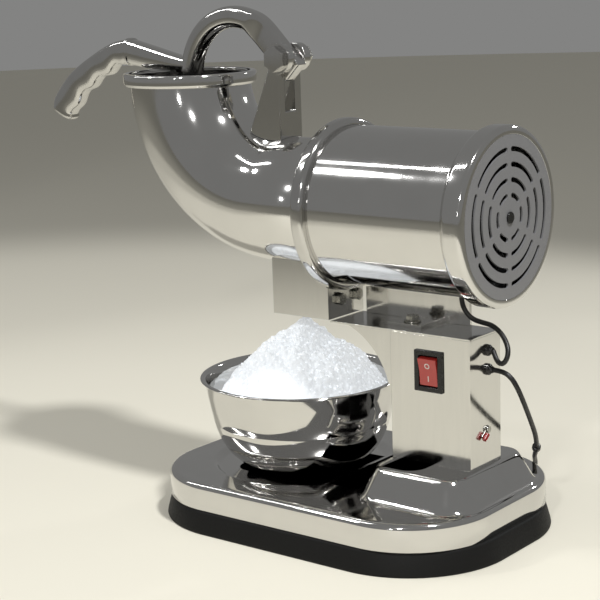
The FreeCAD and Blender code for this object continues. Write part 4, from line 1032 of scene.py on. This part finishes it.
@dataclass
class RockerSwitch:
    """The moulded bezel and the red rocker with its printed marks."""

    tilt: float = 9.0

    def build(self) -> None:
        """Builds the bezel, the rocker and the marks."""
        softened("switch_body", "switch_bezel", Finishes.NYLON, "stand", 0.7, 3)
        softened("rocker", "red_rocker", Finishes.ROCKER, "rocker", 0.5, 2)
        low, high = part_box("switch_body")
        middle = Vector(((low[0] + high[0]) / 2, -20 * MM, (low[2] + high[2]) / 2))
        place = Matrix.Translation(middle) @ Matrix.Rotation(math.radians(self.tilt), 4, "X")
        for name, height in (("off_mark", 5.3), ("on_mark", -5.3)):
            face = -64.0 + math.sqrt(60.0 ** 2 - height ** 2)
            bm = bmesh.new()
            if name == "off_mark":
                for radius in (2.3, 1.6):
                    bmesh.ops.create_circle(bm, cap_ends=False, segments=48, radius=radius * MM)
                bmesh.ops.bridge_loops(bm, edges=list(bm.edges))
            else:
                bar = bmesh.ops.create_grid(bm, x_segments=1, y_segments=4, size=1.0)["verts"]
                bmesh.ops.scale(bm, vec=(0.35 * MM, 2.3 * MM, 1), verts=bar)
            lean = math.asin(height / 60.0)
            stand = (place @ Matrix.Translation(Vector((0, face - 0.12, height)) * MM)
                     @ Matrix.Rotation(math.pi / 2 + lean, 4, "X"))
            bmesh.ops.transform(bm, matrix=stand, verts=bm.verts)
            bmesh.ops.solidify(bm, geom=list(bm.faces), thickness=0.12 * MM)
            piece_from(bm, name, Finishes.INK, "rocker", ())


# ---------------------------------------------------------------- cords


@dataclass
class Cords:
    """The mains cord with its coil, tie and plug, and the short motor lead."""

    width_mm: float = 4.0
    coil_centre: Point = (10.0, 156.5)
    per_turn: int = 16
    mains: tuple[tuple[float, float, float], ...] = (
        (134.5, 3, 141.7), (143.5, 2.2, 142), (150.8, 2.5, 138), (155, 4.5, 130),
        (155.8, 10, 120.5), (153.8, 20.5, 108), (150, 34, 94), (145, 49, 79.5), (137, 65, 64),
        (125.5, 81, 51), (116, 97, 43.5), (109.5, 110, 32), (100, 120.5, 15), (84, 127.5, 4.5),
        (66, 130.5, 2.1), (52, 131, 2), (38, 130, 2), (21, 128.5, 2))
    tail: tuple[tuple[float, float, float], ...] = (
        (-9, 129.2, 6.6), (-20, 129.2, 7.5), (-31, 129.2, 8), (-37, 129.2, 8))
    lead: tuple[tuple[float, float, float], ...] = (
        (101, 10, 202), (100.5, 11, 193), (103, 11, 184.5), (110, 11, 178), (119, 11.5, 176),
        (129, 10.5, 175.2), (138.5, 8, 170.8), (145.5, 4.5, 164.5), (149.3, 1, 158.9),
        (149.6, -2, 152.8), (145, -1.3, 148.2), (138.8, 0.6, 149.8), (134.5, 3, 157))
    # Each turn's radius and height, wound round the outside of a three by three bundle.
    turns: tuple[Point, ...] = ((28, 2), (24, 2), (20, 2), (20, 6), (20, 10), (24, 10), (28, 10),
                                (28, 6))

    def line(self, name: str, points: Sequence[Sequence[float]]) -> bpy.types.Object:
        """Lays a smooth cord along control points.

        Args:
            name: The cord's name.
            points: The control points, in millimetres.

        Returns:
            The curve object.
        """
        curve = bpy.data.curves.new(name, "CURVE")
        curve.dimensions = "3D"
        spline = curve.splines.new("NURBS")
        spline.points.add(len(points) - 1)
        for spot, point in zip(spline.points, points):
            spot.co = (point[0] * MM, point[1] * MM, point[2] * MM, 1.0)
        spline.order_u = 3
        spline.use_endpoint_u = True
        spline.resolution_u = 6
        curve.bevel_depth = self.width_mm / 2 * MM
        curve.bevel_resolution = 5
        curve.use_fill_caps = True
        curve.materials.append(Finishes.SHEATH.material())
        item = bpy.data.objects.new(name, curve)
        bpy.context.scene.collection.objects.link(item)
        return item

    def coil(self) -> list[tuple[float, float, float]]:
        """Returns the coil's control points, turn after turn."""
        spots = []
        for turn, (radius, height) in enumerate(self.turns):
            following = self.turns[min(turn + 1, len(self.turns) - 1)]
            for step in range(self.per_turn):
                share = step / self.per_turn
                change = min(max((share - 0.5) / 0.4, 0.0), 1.0)
                change = change * change * (3 - 2 * change)
                here = radius + (following[0] - radius) * change
                rise = height + (following[1] - height) * change
                angle = -math.pi / 2 - 2 * math.pi * share
                spots.append((self.coil_centre[0] + here * math.cos(angle),
                              self.coil_centre[1] + here * math.sin(angle), rise))
        spots.append((self.coil_centre[0], self.coil_centre[1] - self.turns[-1][0],
                      self.turns[-1][1]))
        return spots

    def plug(self) -> list[bpy.types.Object]:
        """Builds the moulded plug and its rounded pins."""
        low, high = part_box("plug_body")
        middle_y, middle_z = (low[1] + high[1]) / 2, (low[2] + high[2]) / 2 / MM
        x, back = low[0] / MM, high[0] / MM
        rows = [(back, 3.4, 3.4, 2.0), (back - 1, 4.2, 4.2, 2.0)]
        for ridge in range(4):
            start = back - 2 - ridge * 2.4
            rows += [(start, 4.6 + ridge * 0.3, 4.4 + ridge * 0.3, 2.2),
                     (start - 1.2, 4.0 + ridge * 0.3, 3.9 + ridge * 0.3, 2.2)]
        rows += [(back - 13, 7.5, 5.6, 2.6), (back - 17, 11.5, 7.0, 3.2),
                 (back - 22, 12.8, 7.9, 3.6), (x + 1.5, 12.9, 7.9, 3.6),
                 (x + 0.4, 12.5, 7.5, 3.6), (x, 11.8, 6.8, 3.6)]
        sections = [Section(row[0], middle_z, 180, row[1], row[2], row[3]) for row in rows]
        body = piece_from(lofted(sections, middle_y), "moulded_plug", Finishes.NYLON, "stand",
                          ["plug_body"], sharp=45)
        pins = softened("plug_pins", "rounded_pins", Finishes.ZINC, "stand", 0.8,
                        3)
        return [body, pins]

    def tie(self) -> bpy.types.Object:
        """Builds the band that holds the coil."""
        low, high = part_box("cord_tie")
        middle_x, half = (low[0] + high[0]) / 2, (high[0] - low[0]) / 2 - 0.2 * MM
        top = high[2]
        outline = rounded([(-half, 0, 3 * MM), (half, 0, 3 * MM), (half, top, 3 * MM),
                           (-half, top, 3 * MM)], 5)
        bm = bmesh.new()
        spots = [bm.verts.new((middle_x + across, low[1], up)) for across, up in outline]
        for pair in zip(spots, spots[1:] + spots[:1]):
            bm.edges.new(pair)
        made = bmesh.ops.extrude_edge_only(bm, edges=list(bm.edges))
        far = [item for item in made["geom"] if isinstance(item, bmesh.types.BMVert)]
        bmesh.ops.translate(bm, verts=far, vec=(0, high[1] - low[1], 0))
        bmesh.ops.recalc_face_normals(bm, faces=bm.faces)
        bmesh.ops.solidify(bm, geom=list(bm.faces), thickness=0.7 * MM)
        return piece_from(bm, "coil_band", Finishes.NYLON, "stand", ["cord_tie"])

    def clip(self, cord: bpy.types.Object, height_mm: float) -> bpy.types.Object:
        """Builds the small moulded clip on the hanging part of the cord.

        Args:
            cord: The cord that it holds.
            height_mm: How high up it sits.

        Returns:
            The clip.
        """
        bare = cord.data.copy()
        bare.bevel_depth = 0
        holder = bpy.data.objects.new("bare_line", bare)
        line = [vert.co.copy() for vert in bpy.data.meshes.new_from_object(holder).vertices]
        bpy.data.objects.remove(holder)
        spot = min(range(1, 80), key=lambda index: abs(line[index].z - height_mm * MM))
        way = (line[spot + 1] - line[spot - 1]).normalized()
        outline = rounded([(-3.0 * MM, 1.9 * MM, 0), (-3.0 * MM, 3.6 * MM, 1.2 * MM),
                           (3.0 * MM, 3.6 * MM, 1.2 * MM), (3.0 * MM, 1.9 * MM, 0)], 4)
        bm = turned(outline, Axis.UPRIGHT, Vector((0, 0, 0)), steps=40)
        tab = bmesh.ops.create_cube(bm, size=1.0)
        bmesh.ops.scale(bm, vec=(4.5 * MM, 1.8 * MM, 3.6 * MM), verts=tab["verts"])
        bmesh.ops.translate(bm, vec=(4.6 * MM, 0, 0), verts=tab["verts"])
        bmesh.ops.bevel(bm, geom=list({edge for vert in tab["verts"] for edge in vert.link_edges}),
                        offset=0.6 * MM, affect="EDGES", segments=2, profile=0.5, material=-1)
        turn = way.to_track_quat("Z", "X").to_matrix().to_4x4()
        bmesh.ops.transform(bm, matrix=Matrix.Translation(line[spot]) @ turn, verts=bm.verts)
        return piece_from(bm, "cord_clip", Finishes.NYLON, "stand", ())

    def gland(self, node: str) -> bpy.types.Object:
        """Builds one round strain relief where a cord enters the column.

        Args:
            node: The CAD gland that it replaces.

        Returns:
            The gland.
        """
        low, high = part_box(node)
        centre = Vector((0, (low[1] + high[1]) / 2, (low[2] + high[2]) / 2))
        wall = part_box("column_shell")[1][0]
        outline = rounded([(wall - 4 * MM, 2 * MM, 0), (wall - 4 * MM, 3 * MM, 0),
                           (wall, 3 * MM, 0), (wall, 4.6 * MM, 0.3 * MM),
                           (wall + 2.2 * MM, 4.5 * MM, 1.4 * MM),
                           (wall + 3.6 * MM, 3.0 * MM, 1 * MM),
                           (high[0], 2.5 * MM, 0.4 * MM), (high[0], 1.9 * MM, 0)], 5)
        return piece_from(turned(outline, Axis.MOTOR, centre, steps=64), node + "_moulding",
                          Finishes.NYLON, "stand", [node])

    def build(self) -> None:
        mains = self.line("mains_lead", [*self.mains, *self.coil(), *self.tail])
        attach(mains, "stand")
        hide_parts("mains_cord", "cord_coil", "cord_tail")
        pieces = [*self.plug(), self.tie(), self.clip(mains, 62.0)]
        lead = self.line("motor_supply_lead", self.lead)
        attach(lead, "stand")
        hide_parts("motor_lead")
        self.gland("upper_gland")
        self.gland("lower_gland")


# ---------------------------------------------------------------- sheet metal and fasteners


@dataclass
class SheetWork:
    """The folded column, neck, chute and brackets, with their edges dressed."""

    plates: dict[str, float] = field(default_factory=lambda: {
        "column_shell": 0.5, "neck_plate": 0.4, "neck_gusset": 0.5, "discharge_chute": 0.5,
        "motor_bracket": 0.6, "clevis_bracket": 0.9})
    fasteners: tuple[str, ...] = ("chute_bolts", "bracket_bolt", "bracket_washer", "pivot_nut",
                                  "pivot_bolt", "earth_screw", "earth_lug", "cover_screw",
                                  "earth_sleeve")

    def build(self) -> None:
        """Builds the dressed plates and fasteners."""
        for node, width in self.plates.items():
            casting = node == "clevis_bracket"
            softened(node, node + "_dressed", Finishes.CASTING if casting else Finishes.SHEET,
                     "stand", width)
        for node in self.fasteners:
            softened(node, node + "_dressed", DRESSED[node], "stand", 0.35)


# ---------------------------------------------------------------- the rest of the CAD nodes

DRESSED: dict[str, Finish] = {
    "base_plate": Finishes.GALVANISED, "base_posts": Finishes.GALVANISED,
    "base_screws": Finishes.ZINC, "column_shell": Finishes.SHEET, "neck_plate": Finishes.SHEET,
    "neck_gusset": Finishes.SHEET, "discharge_chute": Finishes.SHEET,
    "chute_bolts": Finishes.ZINC, "motor_bracket": Finishes.SHEET, "bracket_bolt": Finishes.ZINC,
    "bracket_washer": Finishes.ZINC, "bracket_nut": Finishes.ZINC,
    "clevis_bracket": Finishes.CASTING, "pivot_bolt": Finishes.CASTING, "pivot_nut": Finishes.ZINC,
    "front_plate": Finishes.IRON, "end_cover": Finishes.GRILLE, "cover_screw": Finishes.NYLON,
    "front_bearing": Finishes.BEARING, "rear_bearing": Finishes.BEARING,
    "rear_plate": Finishes.IRON, "stator_core": Finishes.LAMINATION,
    "stator_winding": Finishes.COPPER, "switch_body": Finishes.NYLON,
    "upper_gland": Finishes.NYLON, "lower_gland": Finishes.NYLON, "motor_lead": Finishes.SHEATH,
    "earth_lug": Finishes.ZINC, "earth_sleeve": Finishes.SLEEVE, "earth_screw": Finishes.ZINC,
    "capacitor": Finishes.GRILLE, "capacitor_clip": Finishes.GALVANISED,
    "terminal_block": Finishes.NYLON, "mains_cord": Finishes.SHEATH, "cord_coil": Finishes.SHEATH,
    "cord_tail": Finishes.SHEATH, "cord_tie": Finishes.NYLON, "plug_body": Finishes.NYLON,
    "plug_pins": Finishes.ZINC, "motor_shaft": Finishes.BEARING, "rotor_core": Finishes.LAMINATION,
    "cooling_fan": Finishes.NYLON, "blade_disc": Finishes.SHEET, "shaving_blades": Finishes.BLADE,
    "blade_screws": Finishes.ZINC, "hub_nut": Finishes.ZINC, "lever_arm": Finishes.CASTING,
    "pivot_bushing": Finishes.BRONZE, "lever_grip": Finishes.CASTING,
    "presser_plate": Finishes.CASTING, "presser_screw": Finishes.ZINC, "rocker": Finishes.ROCKER,
}


def dress_frame(frame: dict) -> None:
    """Gives every CAD node that stays in view its own finish.

    Args:
        frame: The loaded frame.
    """
    for name, finish in DRESSED.items():
        mesh = frame["nodes"][name].data
        mesh.materials.clear()
        mesh.materials.append(finish.material())


def main() -> None:
    """Builds the looks in order and reports each piece."""
    logging.basicConfig(level=logging.INFO, format="%(message)s")
    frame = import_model()
    Studio().build()
    dress_frame(frame)
    BaseTray().build()
    MotorCase().build()
    Hopper().build()
    ServingBowl().build()
    IceHeap().build()
    LeverPress().build()
    RockerSwitch().build()
    Cords().build()
    SheetWork().build()


if __name__ == "__main__":
    main()
